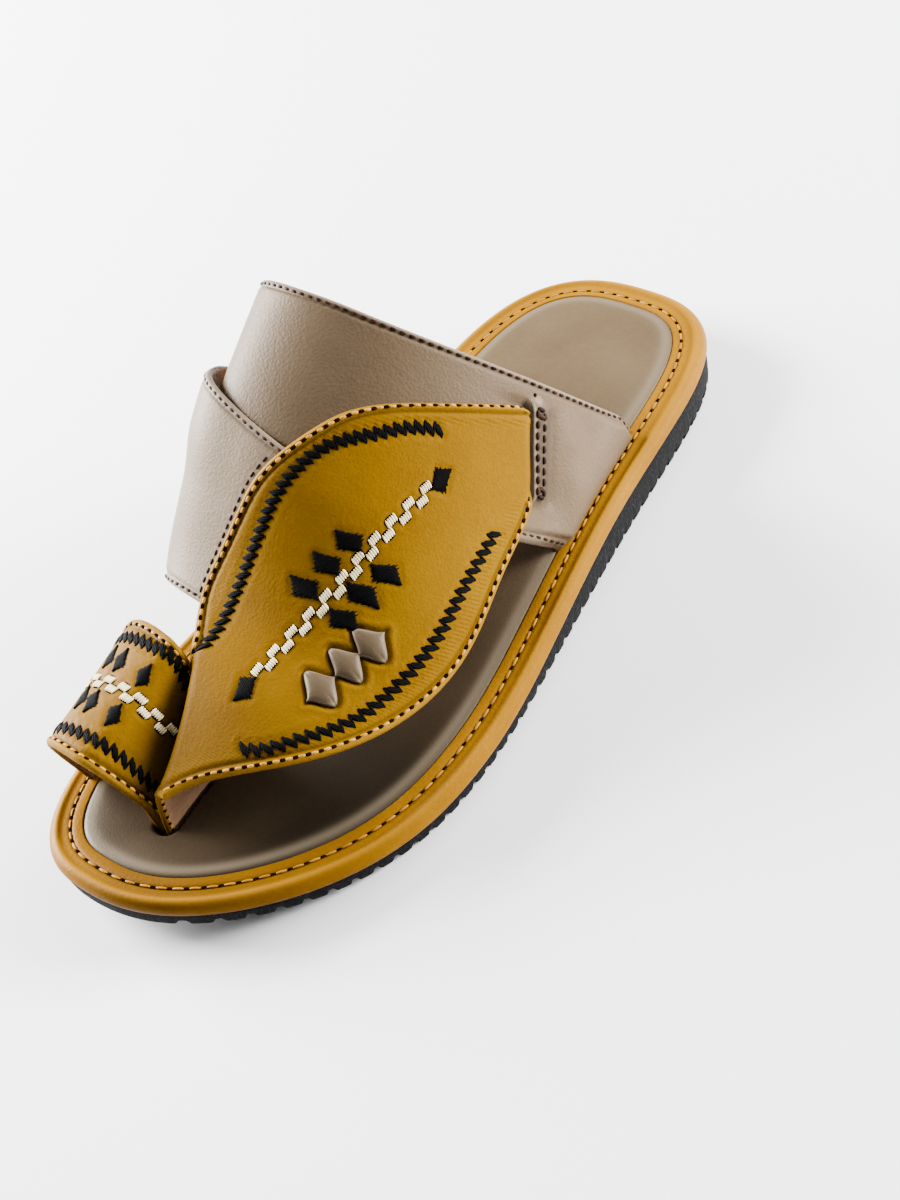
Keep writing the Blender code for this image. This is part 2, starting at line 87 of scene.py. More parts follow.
# Last: lining face of the upper, in sections that lean towards the toe
SECTION_LEAN = 0.83
SECTION_SKEW = 0.09
SKEW_X = 40.0
FOOT_HEIGHT = 1.4
FOOT_INSET = 12.4
MEDIAL_SHIFT = 7.0
LATERAL_FLARE = 2.5
ROUND = 0.55
MEDIAL_DROP = 0.5
LAST = np.array([
    # station, crest x, crest height, medial reach, medial bulge
    (-112.0, 12.0, 11.0, 5.0, 0.0),
    (-87.0, 4.0, 18.5, 10.0, 2.0),
    (-58.0, -7.0, 29.0, 18.0, 4.0),
    (-37.0, -20.0, 34.0, 31.0, 9.0),
    (0.0, -25.0, 52.5, 37.0, 12.0),
    (46.0, -28.0, 73.0, 34.0, 13.0),
    (84.0, -29.0, 86.0, 39.0, 14.0),
])

# Instep straps
STRAP_WALL = 2.4
REAR_STRAP_FRONT, REAR_STRAP_BACK, REAR_STRAP_BOW = 28.0, 84.0, 3.5
REAR_STRAP_TAPER = 7.0
TAPER_ACROSS = (0.8, 1.5)
SIDE_STRAP_FRONT = -37.0
SIDE_STRAP_BACK = ((0.8, 31.0), (1.3, 47.0), (2.0, 56.0))  # across, station
SIDE_STRAP_INNER = (0.89, 0.74)
CROSSING_LIFT = 1.6
CROSSING_RUN = (4.0, 26.0)
SIDE_STRAP_FLARE = 4.5
FLARE_START = 0.15
FLARE_ACROSS = (0.95, 1.25, 1.5, 1.95)
SIDE_STRAP_FOOT = 1.985
FOOT_TUCK = 3.0  # the straps' feet go on down between insole and flange
FOOT_BULGE = 3.6  # of the rear strap, out over the flange
FOOT_CORNER = 3.0  # its rear corner is cut back this far
SLIT = ((28.0, 0.13), (43.8, 0.184), (60.6, 0.2475), (75.4, 0.2985), (88.0, 0.325))  # station, across
SLIT_RUN = (40.0, 45.0, 74.0, 79.0)  # stations over which its lip rises and falls
SLIT_HOLE = (0.299, 80.1)  # a punched hole past its end, across and station
LIP_HEIGHT, PILLOW_HEIGHT = 1.5, 2.0

# Vamp: leaf with a tab that folds down beside the big toe
VAMP_WALL = 2.4
VAMP_CROSSING_RUN = (2.0, 24.0)
VAMP_CROSSING_ACROSS = (0.4, 0.7)
VAMP = np.array([
    # station, lateral edge, medial edge, both across the last
    (-106.0, 0.955, 0.99),
    (-84.3, 0.711, 0.99),
    (-64.3, 0.460, 0.987),
    (-49.5, 0.319, 0.983),
    (-27.4, 0.209, 0.955),
    (-9.0, 0.177, 0.925),
    (16.7, 0.177, 0.882),
    (43.1, 0.185, 0.765),
    (58.7, 0.238, 0.633),
    (66.4, 0.265, 0.499),
    (73.5, 0.287, 0.345),
])
VAMP_CROWDING = 1.3
EDGE_SINK = 2.8  # its lateral edge goes down beside the slit
RIB_PITCH = 1.4  # fine wrinkles beside its seams
FOLD_WIDTH = 0.04
FOLD_SHARE = 0.45
FOLD_FIRST = 1 / 7  # share of the strip that gives the fold its direction
FOLD_HANDLE = 5.2
TAB_BACK, TAB_RUN = -66.0, 16.0
TAB_RISE = 0.45
TAB_LEAN = 0.25
POST_FRONT = (9.8, -116.8)
POST_BACK = (3.4, -91.0)

# Toe loop
LOOP_WALL = 2.2
LOOP = np.array([
    # lateral foot y, medial foot x, y, crest x, crest height, medial reach, bulge, lean, bow
    (-117.6, -27.6, -114.5, -13.5, 25.0, 20.5, 7.0, 0.0, 6.5),
    (-103.0, -31.0, -99.5, -14.5, 29.5, 25.0, 7.0, -0.12, 3.0),
    (-90.5, -33.4, -85.0, -16.0, 35.0, 30.5, 7.0, -0.21, -5.0),
])
LOOP_LEG_LEAN = 0.36
LOOP_REAR_WIDER = 0.2  # the rear edge goes on this much further beside the tab
LOOP_LEG_RISE = 0.6
LOOP_SHOULDER = 0.42
BOW_START = 0.2

# Puffed diamonds
PUFF_ACROSS = (0.473, 0.517, 0.562)
PUFF_STATION = (-23.1, -33.6, -45.0)
PUFF_WIDE = 6.7  # half diagonal across the row
PUFF_LONG = 6.5  # along the row, at a free corner
PUFF_TUCKED = 5.0  # and at a corner that lies under its neighbour's
PUFF_TURN = np.radians(-25.0)
PUFF_HEIGHT = 2.4
PUFF_FULLNESS = 0.36
PUFF_EARS = 1.7  # power that draws the long corners out into ears
PUFF_ROUND = 0.5  # share of the row over which the wide corners are rounded
PUFF_SUNK = 0.5  # its rim lies this deep in the leather
PUFF_STEPS = 37

# Sewing
EDGE_SEAM = 3.1  # seams in from the folded edges of the vamp and the loop
BACK_SEAM = 2.2  # and of the straps' back edges
FRONT_SEAM = 3.4  # and of the rear strap's broad front hem
EDGE_PITCH, EDGE_STITCH = 3.8, 2.3
STRAP_PITCH, STRAP_STITCH = 3.1, 2.2
RAND_PITCH, RAND_STITCH = 5.0, 3.6
SEWING = {  # width and height of a thread or a hole
    "rand_stitches": (0.9, 0.7), "rand_stitch_holes": (1.0, 0.5), "tan_stitches": (1.0, 0.8),
    "tan_stitch_holes": (1.2, 0.5), "brown_stitches": (1.0, 0.8), "slit_stitches": (1.5, 1.1),
    "slit_hole": (1.3, 0.4),
}
THREAD_DROOP = 0.15  # a thread's ends are drawn down this far
HEM_OUTSIDE = 2.6  # stitches on the side strap outside the vamp's edge
SLIT_ROWS = (1.1, 3.4)  # rows of stitches beside the slit
SLIT_PITCH, SLIT_STITCH = 3.4, 2.5
HOLE_OVERLAP = 0.15  # a needle hole goes this far under the stitches beside it

# Needlework on the vamp, in shares across the last and stations
MEDIAL_ZIGZAG = ((0.481, 56.7), (0.546, 54.5), (0.631, 47.3), (0.729, 37.1), (0.777, 26.5), (0.815, 12.6),
                 (0.835, -5.7), (0.859, -26.2), (0.894, -41.2), (0.948, -52.1))
LATERAL_ZIGZAG = ((0.253, 29.2), (0.265, 20.0), (0.283, 4.8), (0.305, -14.3), (0.36, -34.7), (0.43, -49.8),
                  (0.576, -64.1), (0.675, -72.3), (0.735, -74.9))
MEDIAL_TEETH, LATERAL_TEETH = 36, 32
ZIGZAG_SWING = 4.9
CHAIN = ((0.455, 37.0), (0.527, 17.1), (0.59, -4.3), (0.664, -27.0), (0.757, -51.0))
CHAIN_BLOCKS = 21
LEAVES = (  # base and tip of each satin leaf
    ((0.566, 8.1), (0.645, 12.1)), ((0.603, -2.5), (0.683, 1.9)), ((0.639, -13.9), (0.723, -9.4)),
    ((0.537, 5.1), (0.446, 1.7)), ((0.582, -3.7), (0.481, -8.8)), ((0.604, -15.4), (0.514, -19.5)),
)
LEAF_WIDTH = 8.2
LEAF_PITCH = 0.5
LEAF_OUTLINE = ((0.0, 0.05), (0.1, 0.14), (0.3, 0.66), (0.46, 1.0), (0.72, 0.46), (1.0, 0.03))  # along, wide
END_LEAVES = (((0.454, 36.0), (0.427, 44.8)), ((0.757, -51.3), (0.806, -61.4)))
END_LEAF_WIDTH = 7.6

# Needlework on the loop, in shares across it and along its width
LOOP_FRONT_ZIGZAG = ((0.2, 0.4), (0.515, 0.42), (0.93, 0.4), (1.26, 0.31), (1.85, 0.3))
LOOP_REAR_ZIGZAG = ((0.5, 1.93), (0.685, 1.9), (1.035, 1.79), (1.36, 1.74), (1.85, 1.7))
LOOP_FRONT_TEETH, LOOP_REAR_TEETH = 19, 20
LOOP_CHAIN = ((0.36, 1.32), (0.625, 1.19), (1.025, 1.15), (1.26, 1.11), (1.8, 1.1))
LOOP_CHAIN_BLOCKS = 17
LOOP_LEAF_ACROSS = (0.955, 1.15, 1.267)
LOOP_LEAF_ENDS = ((1.29, 1.62), (1.01, 0.64))
LOOP_LEAF_WIDTH = 6.6
NEEDLEWORK = (  # piece, kind of stroke, thread's width and height, finish, droop of its ends
    ("zigzag_bars", "bars", (0.95, 0.95), "black_embroidery_silk", THREAD_DROOP),
    ("zigzag_returns", "returns", (0.7, 0.6), "black_embroidery_silk", THREAD_DROOP),
    ("satin_leaves", "leaves", (0.7, 0.75), "black_embroidery_silk", THREAD_DROOP),
    ("chain_blocks", "cream", (0.9, 0.9), "cream_embroidery_silk", THREAD_DROOP),
    # flat dark strokes under the chain's blocks: painted shadow
    ("chain_block_shadows", "block_shadows", (3.2, 0.35), "needle_hole_shadow", 0.1),
)

# Finishes
# A leather's light and dark dye, painted shade, rubbed edges and painted highlights, highlight's tint, grain
# and its depth in mm, roughness, gloss
LEATHERS = {
    # dyed through under a thin wax: a warm, even colour with a low sheen
    "mustard_calf_leather":
        ("#6c4c00", "#5f4000", "#1e1000", "#966c1c", "#ffb840", 0.8, 0.09, 0.52, 0.05),
    # burnished after sewing: smoother, with a painted highlight along its bead
    "burnished_rand_leather":
        ("#835800", "#714a00", "#221200", "#a0701a", "#ffb030", 0.8, 0.08, 0.45, 0.08),
    # pearl finish: a cool grey brown with a broad, soft highlight
    "taupe_pearl_leather":
        ("#5b4b39", "#514231", "#1a130e", "#80715f", "#ffe6c8", 0.9, 0.09, 0.42, 0.1),
    # the same taupe, skived thin and stretched over foam: tighter and glossier
    "taupe_puff_leather":
        ("#4c4030", "#423627", "#0c0906", "#706352", "#ffe6c8", 0.6, 0.04, 0.4, 0.16),
    # the same taupe, ironed flat: the finest grain and the smoothest
    "taupe_footbed_leather":
        ("#544634", "#4a3c2b", "#0c0906", "#6c604f", "#ffe6c8", 0.6, 0.05, 0.38, 0.1),
}
THREADS = {  # light and dark, roughness, gloss
    "tan_waxed_thread": ("#b5802a", "#94661c", 0.5, 0.15),
    "ochre_waxed_thread": ("#9a6818", "#7c500e", 0.5, 0.15),
    "brown_waxed_thread": ("#301c10", "#180d07", 0.6, 0.06),
    "black_embroidery_silk": ("#030304", "#010101", 0.75, 0.04),
    "cream_embroidery_silk": ("#f6e4b2", "#dcca98", 0.5, 0.2),
    "needle_hole_shadow": ("#180b02", "#0d0601", 0.9, 0.0),
}

# Camera and light
CAMERA_PLACE = (0.36646, -0.27608, 0.45721)
CAMERA_RIGHT = (0.7586, 0.6137, -0.2187)
CAMERA_UP = (-0.3396, 0.6590, 0.6711)
CAMERA_FORWARD = (-0.5560, 0.4349, -0.7083)
CAMERA_LENS = 60.05
FLOOR_HALF = 3.0
SOFT_BOXES = (  # place, width and watts
    ("left_box", (-1.08, -0.26, 0.43), 0.7, 145.0),
    ("right_box", (0.85, 1.0, 0.5), 0.7, 110.0),
    ("top_box", (-0.1, 1.1, 1.1), 1.0, 26.0),
)
LIGHT_AIM = (0.0, 0.0, 0.03)
SURROUND = 0.2


def spline(knots, values, at):
    """Natural cubic curve through the rows of a table."""
    knots, values, at = (np.asarray(item, float) for item in (knots, values, at))
    count, step = len(knots), np.diff(knots)
    matrix, right = np.eye(count), np.zeros(count)
    slope = np.diff(values) / step
    for i in range(1, count - 1):
        matrix[i, i - 1:i + 2] = step[i - 1], 2 * (step[i - 1] + step[i]), step[i]
        right[i] = 6 * (slope[i] - slope[i - 1])
    bend = np.linalg.solve(matrix, right)
    i = np.clip(np.searchsorted(knots, at) - 1, 0, count - 2)
    a, b = (knots[i + 1] - at) / step[i], (at - knots[i]) / step[i]
    curve = ((a ** 3 - a) * bend[i] + (b ** 3 - b) * bend[i + 1]) * step[i] ** 2 / 6
    return a * values[i] + b * values[i + 1] + curve


def bezier(p0, p1, p2, p3, t):
    """Cubic curve from p0 to p3 with handles p1 and p2."""
    return (1 - t) ** 3 * p0 + 3 * t * (1 - t) ** 2 * p1 + 3 * t * t * (1 - t) * p2 + t ** 3 * p3


def ease(value, start, end):
    """Smooth step from 0 at start to 1 at end."""
    t = np.clip((np.asarray(value, float) - start) / (end - start), 0, 1)
    return t * t * (3 - 2 * t)


def bell(value, centre, width):
    """Gaussian hump of height 1."""
    return np.exp(-((np.asarray(value, float) - centre) / width) ** 2)


def unit(vectors):
    """Vectors divided by their lengths."""
    return vectors / np.maximum(np.linalg.norm(vectors, axis=-1, keepdims=True), 1e-9)


def crowd(count):
    """Steps from 0 to 1 that lie close at both ends: half a turn of a cosine."""
    return 0.5 - 0.5 * np.cos(np.pi * np.linspace(0, 1, count))


def grids(*values):
    """Values as float arrays of one shape."""
    return np.broadcast_arrays(*(np.asarray(value, float) for value in values))


def length_along(points):
    """Distance along a line from its first point to each of its points."""
    return np.r_[0, np.linalg.norm(np.diff(points, axis=0), axis=1).cumsum()]


def read_off(at, run, values):
    """Columns of values at places between those of a rising run."""
    return np.stack([np.interp(at, run, column) for column in values.T], -1)


def arch(across, start, leg, shoulder, crest, reach, drop, end):
    """Bezier curve up over leg and shoulder to the crest at 1, and one from there down to the end at 2."""
    t, m = np.clip(across, 0, 1), np.clip(across - 1, 0, 1)
    return np.where(across <= 1, bezier(start, leg, shoulder, crest, t), bezier(crest, reach, drop, end, m))


def raised(face, across, along, row_step, lift):
    """Points of a face, lifted along the cross product of its two slopes."""
    du = face(across + SMALL, along) - face(across - SMALL, along)
    dv = face(across, along + row_step) - face(across, along - row_step)
    return face(across, along) + unit(np.cross(dv, du)) * np.broadcast_to(lift, across.shape)[..., None]


def floor_rise(y):
    """Underside of the sole: flat, then a parabola up under the toes."""
    return TOE_SPRING * np.clip((SPRING_START - np.asarray(y, float)) / SPRING_RUN, 0, None) ** 2


def flange_top(y):
    """Height of the flange: level forefoot, a smooth step up to the heel, and the toe spring."""
    return FOREFOOT_TOP + HEEL_LIFT * ease(y, LIFT_START, LIFT_START + LIFT_RUN) + floor_rise(y)


def outline(inset, count):
    """Sole outline: superelliptic ends on splined half widths, moved inwards along its normal."""
    turn = np.arange(count) * 2 * np.pi / count
    c, s = np.cos(turn), np.sin(turn)
    power = 2 / np.where(c >= 0, HEEL_ROUND, TOE_ROUND)
    y = LENGTH / 2 * np.sign(c) * np.abs(c) ** power
    steps = np.linspace(LENGTH / 2, -LENGTH / 2, len(MEDIAL_WIDTH))[::-1]
    lateral = spline(steps, LATERAL_WIDTH[::-1], y)
    medial = spline(steps, MEDIAL_WIDTH[::-1], y)
    x = np.where(s >= 0, lateral, -medial) * np.abs(s) ** power
    along = np.stack([np.roll(x, -1) - np.roll(x, 1), np.roll(y, -1) - np.roll(y, 1)], 1)
    along = unit(along)
    return np.stack([x, y], 1) + inset * np.stack([along[:, 1], -along[:, 0]], 1)


@functools.cache
def half_outline(side, inset):
    """Y and X of the inset outline on the lateral (1) or medial (-1) side, sorted by Y."""
    points = outline(inset, OUTLINE_POINTS)
    half = points if side > 0 else np.roll(points[::-1], 1, axis=0)
    half = half[:OUTLINE_POINTS // 2 + 1]
    half = half[half[:, 1].argsort()]
    return half[:, 1], half[:, 0]


def edge_x(y, side, inset):
    """X of the inset outline at y, on one side."""
    return np.interp(y, *half_outline(side, inset))


def last_face(across, station):
    """Arched sections of two Bezier curves: 0 is the lateral foot, 1 the crest, 2 the medial foot."""
    across, station = grids(across, station)
    crest_x, crest, reach, bulge = (spline(LAST[:, 0], LAST[:, i], station) for i in range(1, 5))
    lateral = edge_x(station, 1, FOOT_INSET)
    medial = edge_x(station + MEDIAL_SHIFT, -1, FOOT_INSET)
    leg, shoulder = lateral + LATERAL_FLARE, crest_x + ROUND * (lateral - crest_x)
    x = arch(across, lateral, leg, shoulder, crest_x, crest_x - reach, medial - bulge, medial)
    height = arch(across, FOOT_HEIGHT, ROUND * crest, crest, crest, crest, MEDIAL_DROP * crest, FOOT_HEIGHT)
    y = station - SECTION_LEAN * height - SECTION_SKEW * (x - SKEW_X)
    return np.stack([x, y, flange_top(y) + height], -1)


def last(across, station, lift=0.0):
    """Point on the last, lifted along its normal."""
    return raised(last_face, *grids(across, station), ROW_STEP, lift)


def side_strap_lift(across, station, v):
    """Height of the side strap over the last: a step over the rear strap and a flare at its back edge."""
    rising = ease(across, *FLARE_ACROSS[:2]) * (1 - ease(across, *FLARE_ACROSS[2:]))
    flare = SIDE_STRAP_FLARE * ease(v, FLARE_START, 1.0) * rising
    return CROSSING_LIFT * ease(station, *CROSSING_RUN) + flare


def vamp_lift(across, station):
    """Height of the vamp's lining over the last: one strap wall, or both where they cross."""
    crossing = ease(station, *VAMP_CROSSING_RUN) * ease(across, *VAMP_CROSSING_ACROSS)
    return STRAP_WALL + GAP + CROSSING_LIFT * crossing


def vamp_face(across, station):
    """The last, lifted by the vamp's clearance."""
    return last(across, station, vamp_lift(across, station))


def post_x(y):
    """Straight line of the tab's lining face along the slot."""
    share = (y - POST_FRONT[1]) / (POST_BACK[1] - POST_FRONT[1])
    return POST_FRONT[0] + share * (POST_BACK[0] - POST_FRONT[0])


def post_cosine():
    """Cosine of the slot's slant against the Y axis."""
    run_x, run_y = POST_BACK[0] - POST_FRONT[0], POST_BACK[1] - POST_FRONT[1]
    return run_y / np.hypot(run_x, run_y)


def vamp_edges(station):
    """Lateral edge, fold line and medial edge of a section, as shares across the last."""
    lateral = spline(VAMP[:, 0], VAMP[:, 1], station)
    medial = spline(VAMP[:, 0], VAMP[:, 2], station)
    fold = medial - np.minimum(FOLD_WIDTH, FOLD_SHARE * (medial - lateral))
    return lateral, fold, medial


def vamp_lining(share, station):
    """Leaf on the last for shares 0 to 1, then a Bezier over the fold and down the tab from 1 to 2.

    Behind the tab the strip past the fold line lies on the last too, and the two are mixed smoothly.
    """
    share, station = grids(share, station)
    lateral, fold, medial = vamp_edges(station)
    t, m = np.clip(share, 0, 1), np.clip(share - 1, 0, 1)
    leaf = vamp_face(lateral + (fold - lateral) * t, station)
    strip = vamp_face(fold + (medial - fold) * m, station)
    start = vamp_face(fold, station)
    run = vamp_face(fold + (medial - fold) * FOLD_FIRST, station) - start
    handle = start + FOLD_HANDLE * unit(run)
    foot_y = np.interp(station, (VAMP[0, 0], TAB_BACK), (POST_FRONT[1], POST_BACK[1]))
    foot = np.stack([post_x(foot_y), foot_y, flange_top(foot_y) - SLOT_DEPTH], -1)
    rise = TAB_RISE * (handle - foot)[..., 2]
    lean = TAB_LEAN * ease(station, VAMP[0, 0], TAB_BACK)
    above = foot + np.stack([lean * rise, 0 * rise, rise], -1)
    tab = bezier(start, handle, above, foot, m[..., None])
    leaf_share = ease(station, TAB_BACK, TAB_BACK + TAB_RUN)[..., None]
    return np.where(share[..., None] <= 1, leaf, tab + (strip - tab) * leaf_share)


def vamp_skin(across, station):
    """Outer face of the vamp at a share across the last: its lining plus its wall along the normal."""
    across, station = grids(across, station)
    lateral, fold, medial = vamp_edges(station)
    share = np.where(across < fold, (across - lateral) / (fold - lateral),
                     1 + (across - fold) / (medial - fold))
    return raised(vamp_lining, share, station, ROW_STEP, VAMP_WALL)


def loop_lining(across, v):
    """Arch of two Bezier curves from the slot (0) over the crest (1) to the insole's medial rim (2)."""
    across, v = grids(across, v)
    foot_y, rim_x, rim_y, crest_x, crest, reach, bulge, lean, bow = (
        spline(range(len(LOOP)), LOOP[:, i], v) for i in range(LOOP.shape[1]))
    foot_x = post_x(foot_y) - (VAMP_WALL + LOOP_WALL + GAP) / post_cosine()
    leg = foot_x + LOOP_LEG_LEAN * (crest_x - foot_x)
    shoulder = crest_x + LOOP_SHOULDER * (foot_x - crest_x)
    x = arch(across, foot_x, leg, shoulder, crest_x, crest_x - reach, rim_x - bulge, rim_x)
    height = arch(across, -SLOT_DEPTH, LOOP_LEG_RISE * crest, crest, crest, crest, MEDIAL_DROP * crest,
                  FOOT_HEIGHT)
    y = foot_y + (rim_y - foot_y) * (x - foot_x) / (rim_x - foot_x) - lean * height
    y = y - bow * np.sin(np.pi * np.clip((across - BOW_START) / (2 - BOW_START), 0, 1))
    return np.stack([x, y, flange_top(y) + height], -1)


def loop_skin(across, v):
    """Outer face of the loop: its lining plus its wall along the normal."""
    return raised(loop_lining, *grids(across, v), SMALL, LOOP_WALL)


def side_strap_skin(across, station):
    """Outer face of the side strap where it lies flat: the last lifted by the crossing and the wall."""
    return last(across, station, CROSSING_LIFT * ease(station, *CROSSING_RUN) + STRAP_WALL)


def rear_strap_skin(across, station):
    """Outer face of the rear strap: the last lifted by the wall."""
    return last(across, station, STRAP_WALL)


def linear(hex_colour):
    """sRGB hex colour as linear RGBA."""
    value = np.array([int(hex_colour[i:i + 2], 16) for i in (1, 3, 5)]) / 255
    value = np.where(value <= 0.04045, value / 12.92, ((value + 0.055) / 1.055) ** 2.4)
    return (*value, 1.0)


def add_node(tree, kind, settings, links=None):
    """Node with its properties and sockets set, and its inputs linked to other nodes' sockets."""
    made = tree.nodes.new(kind)
    for name, value in settings.items():
        if isinstance(name, str) and hasattr(made, name):
            setattr(made, name, value)
        else:
            made.inputs[name].default_value = value
    for name, socket in (links or {}).items():
        tree.links.new(socket, made.inputs[name])
    return made


def per_metre(size):
    """Texture scale for features of a size in millimetres."""
    return 1 / (size * MM)


def new_material(name, settings):
    """Material with a Principled shader whose constants are set on its own sockets."""
    made = bpy.data.materials.new(name)
    made.use_nodes = True
    shader = made.node_tree.nodes["Principled BSDF"]
    for socket, value in settings.items():
        shader.inputs[socket].default_value = value
    return made, made.node_tree, shader


def own_place(tree):
    """The piece's own coordinates, in metres."""
    return add_node(tree, "ShaderNodeTexCoord", {}).outputs["Object"]


def noise(tree, size, detail):
    """Clouds of a size in millimetres."""
    settings = {"Scale": per_metre(size), "Detail": detail}
    return add_node(tree, "ShaderNodeTexNoise", settings, {"Vector": own_place(tree)}).outputs["Fac"]


def cells(tree, size, feature="F1"):
    """Rounded cells of a size in millimetres."""
    settings = {"feature": feature, "Scale": per_metre(size)}
    return add_node(tree, "ShaderNodeTexVoronoi", settings, {"Vector": own_place(tree)}).outputs["Distance"]


def mark(tree, name):
    """Value that a piece carries at its points."""
    return add_node(tree, "ShaderNodeAttribute", {"attribute_name": name}).outputs["Fac"]


def mixed(tree, share, first, second):
    """Mix of a first colour, hex or from another node, with a second one in hex."""
    links = {0: share}
    settings = {"data_type": "RGBA", 7: linear(second)}
    if isinstance(first, str):
        settings[6] = linear(first)
    else:
        links[6] = first
    return add_node(tree, "ShaderNodeMix", settings, links).outputs[2]


def reckoned(tree, operation, *values):
    """Arithmetic on numbers and on other nodes' values."""
    fixed = {i: value for i, value in enumerate(values) if isinstance(value, float)}
    linked = {i: value for i, value in enumerate(values) if i not in fixed}
    return add_node(tree, "ShaderNodeMath", {"operation": operation, **fixed}, linked).outputs[0]


def ranged(tree, value, limits):
    """Value stretched from one range to another."""
    return add_node(tree, "ShaderNodeMapRange", limits, {"Value": value}).outputs[0]


def surfaced(made, colour, height, strength, depth):
    """Material whose shader takes a colour, and a relief of a depth in millimetres."""
    tree = made.node_tree
    shader = tree.nodes["Principled BSDF"]
    settings = {"Strength": strength, "Distance": depth * MM}
    bump = add_node(tree, "ShaderNodeBump", settings, {"Height": height})
    tree.links.new(colour, shader.inputs["Base Color"])
    tree.links.new(bump.outputs[0], shader.inputs["Normal"])
    return made


def dressed_leather(name, light, dark, shadow, rub_and_highlight_colour, tint, grain, depth, roughness, gloss):
    """Chrome-tanned leather, dyed through and finished: a soft cloudy colour, a fine pebbled grain that
    breaks up the highlight, painted shade along seams and in shaded parts, and paler rubbed edges with
    painted highlights."""
    made, tree, shader = new_material(name, {"Specular IOR Level": gloss, "Specular Tint": linear(tint)})
    fleck = noise(tree, 1.6, 2.0)
    tone = reckoned(tree, "MULTIPLY_ADD", fleck, 0.35, noise(tree, 26.0, 3.0))
    base = mixed(tree, ranged(tree, tone, {"From Min": 0.45, "From Max": 0.9}), light, dark)
    # the shade mark mixes in painted shade (and the rand's real scuffs), the rub mark paler rubbed edges and
    # painted highlights
    seamed = mixed(tree, mark(tree, "shade"), base, shadow)
    rubbed_and_highlighted = mixed(tree, mark(tree, "rub_and_highlight"), seamed, rub_and_highlight_colour)
    pores = noise(tree, grain * 0.4, 2.0)
    pebbles = reckoned(tree, "MULTIPLY_ADD", pores, 0.5, cells(tree, grain, "SMOOTH_F1"))
    ribs = reckoned(tree, "MULTIPLY", reckoned(tree, "SINE", mark(tree, "run")), mark(tree, "rib"))
    dull = ranged(tree, fleck, {"To Min": roughness - 0.05, "To Max": roughness + 0.08})
    tree.links.new(dull, shader.inputs["Roughness"])
    return surfaced(made, rubbed_and_highlighted, reckoned(tree, "ADD", pebbles, ribs), 1.0, depth)


def split_lining(name):
    """Unfinished pigskin lining: pale, pinkish and matt, with open pores in fine dots."""
    made, tree, _ = new_material(name, {"Roughness": 0.85, "Sheen Weight": 0.25, "Sheen Roughness": 0.5})
    base = mixed(tree, noise(tree, 6.0, 4.0), "#8e6640", "#6c4828")
    return surfaced(made, base, cells(tree, 1.1), 0.8, 0.12)


def crumb_foam(name):
    """Microcellular EVA foam, cut and buffed: near black and matt, with pale cut cells as fine specks.

    Its cells, about 0.3 mm wide, are drawn coarser so that they show.
    """
    made, tree, _ = new_material(name, {"Roughness": 0.82, "Specular IOR Level": 0.08})
    specks = ranged(tree, noise(tree, 0.8, 2.0), {"From Min": 0.5, "From Max": 0.72})
    return surfaced(made, mixed(tree, specks, "#060607", "#1c1c1e"), cells(tree, 0.9), 1.0, 0.15)


def sewing_thread(name, light, dark, roughness, gloss):
    """Twisted thread: each stitch a little lighter or darker than the next, with a soft sheen."""
    made, tree, _ = new_material(name, {"Roughness": roughness, "Specular IOR Level": gloss})
    base = mixed(tree, mark(tree, "shade"), light, dark)
    return surfaced(made, base, noise(tree, 0.35, 2.0), 0.7, 0.1)


def add_piece(name, points, faces, finishes, face_finish=None, marks=None):
    """Mesh object in the frame's metres, welded, with its faces turned outwards, riding on the shoe."""
    mesh = bpy.data.meshes.new(name)
    places = (np.asarray(points, float).reshape(-1, 3) - (AXIS_X, 0.0, 0.0)) * MM
    mesh.from_pydata(places.tolist(), [], faces)
    for finish in finishes:
        mesh.materials.append(finish)
    if face_finish is not None:
        mesh.polygons.foreach_set("material_index", np.asarray(face_finish, np.int32))
    for mark, values in (marks or {}).items():
        layer = mesh.attributes.new(mark, "FLOAT", "POINT")
        layer.data.foreach_set("value", np.asarray(values, np.float32).ravel())
    work = bmesh.new()
    work.from_mesh(mesh)
    bmesh.ops.remove_doubles(work, verts=work.verts, dist=WELD * MM)
    bmesh.ops.recalc_face_normals(work, faces=work.faces)
    work.to_mesh(mesh)
    work.free()
    mesh.shade_smooth()
    made = bpy.data.objects.new(name, mesh)
    bpy.context.scene.collection.objects.link(made)
    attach(made, "root")
    return made


def grid_quads(number):
    """Quads between neighbours of a grid of point numbers."""
    quads = np.stack([number[:-1, :-1], number[:-1, 1:], number[1:, 1:], number[1:, :-1]], -1)
    return quads.reshape(-1, 4)


def grid_normals(points):
    """Outward normals of a sheet: the slope along it crossed with the slope across it."""
    return unit(np.cross(np.gradient(points, axis=1), np.gradient(points, axis=0)))


def border_distances(points):
    """Distance to the first and last column, and to the first and last row.

    Each is the length along the grid line times the sine of its angle with the border.
    """
    found = []
    for axis in (0, 1):
        lines = points.swapaxes(0, axis)
        step = np.diff(lines, axis=0)
        run = np.concatenate([np.zeros((1, lines.shape[1])), np.linalg.norm(step, axis=2).cumsum(0)])
        for line, border, length in ((step[0], lines[0], run), (step[-1], lines[-1], run[-1] - run)):
            along = unit(np.gradient(border, axis=0))
            sine = np.linalg.norm(np.cross(unit(line), along), axis=1)
            found.append((length * sine).swapaxes(0, axis))
    return np.array(found)


def folded_edge(away):
    """Relief along a stitched edge: a rolled bead, then a dip along the stitches."""
    return 0.35 * bell(away, 1.4, 1.0) - 0.4 * bell(away, EDGE_SEAM, 0.8) + 0.1 * bell(away, 5.0, 1.2)


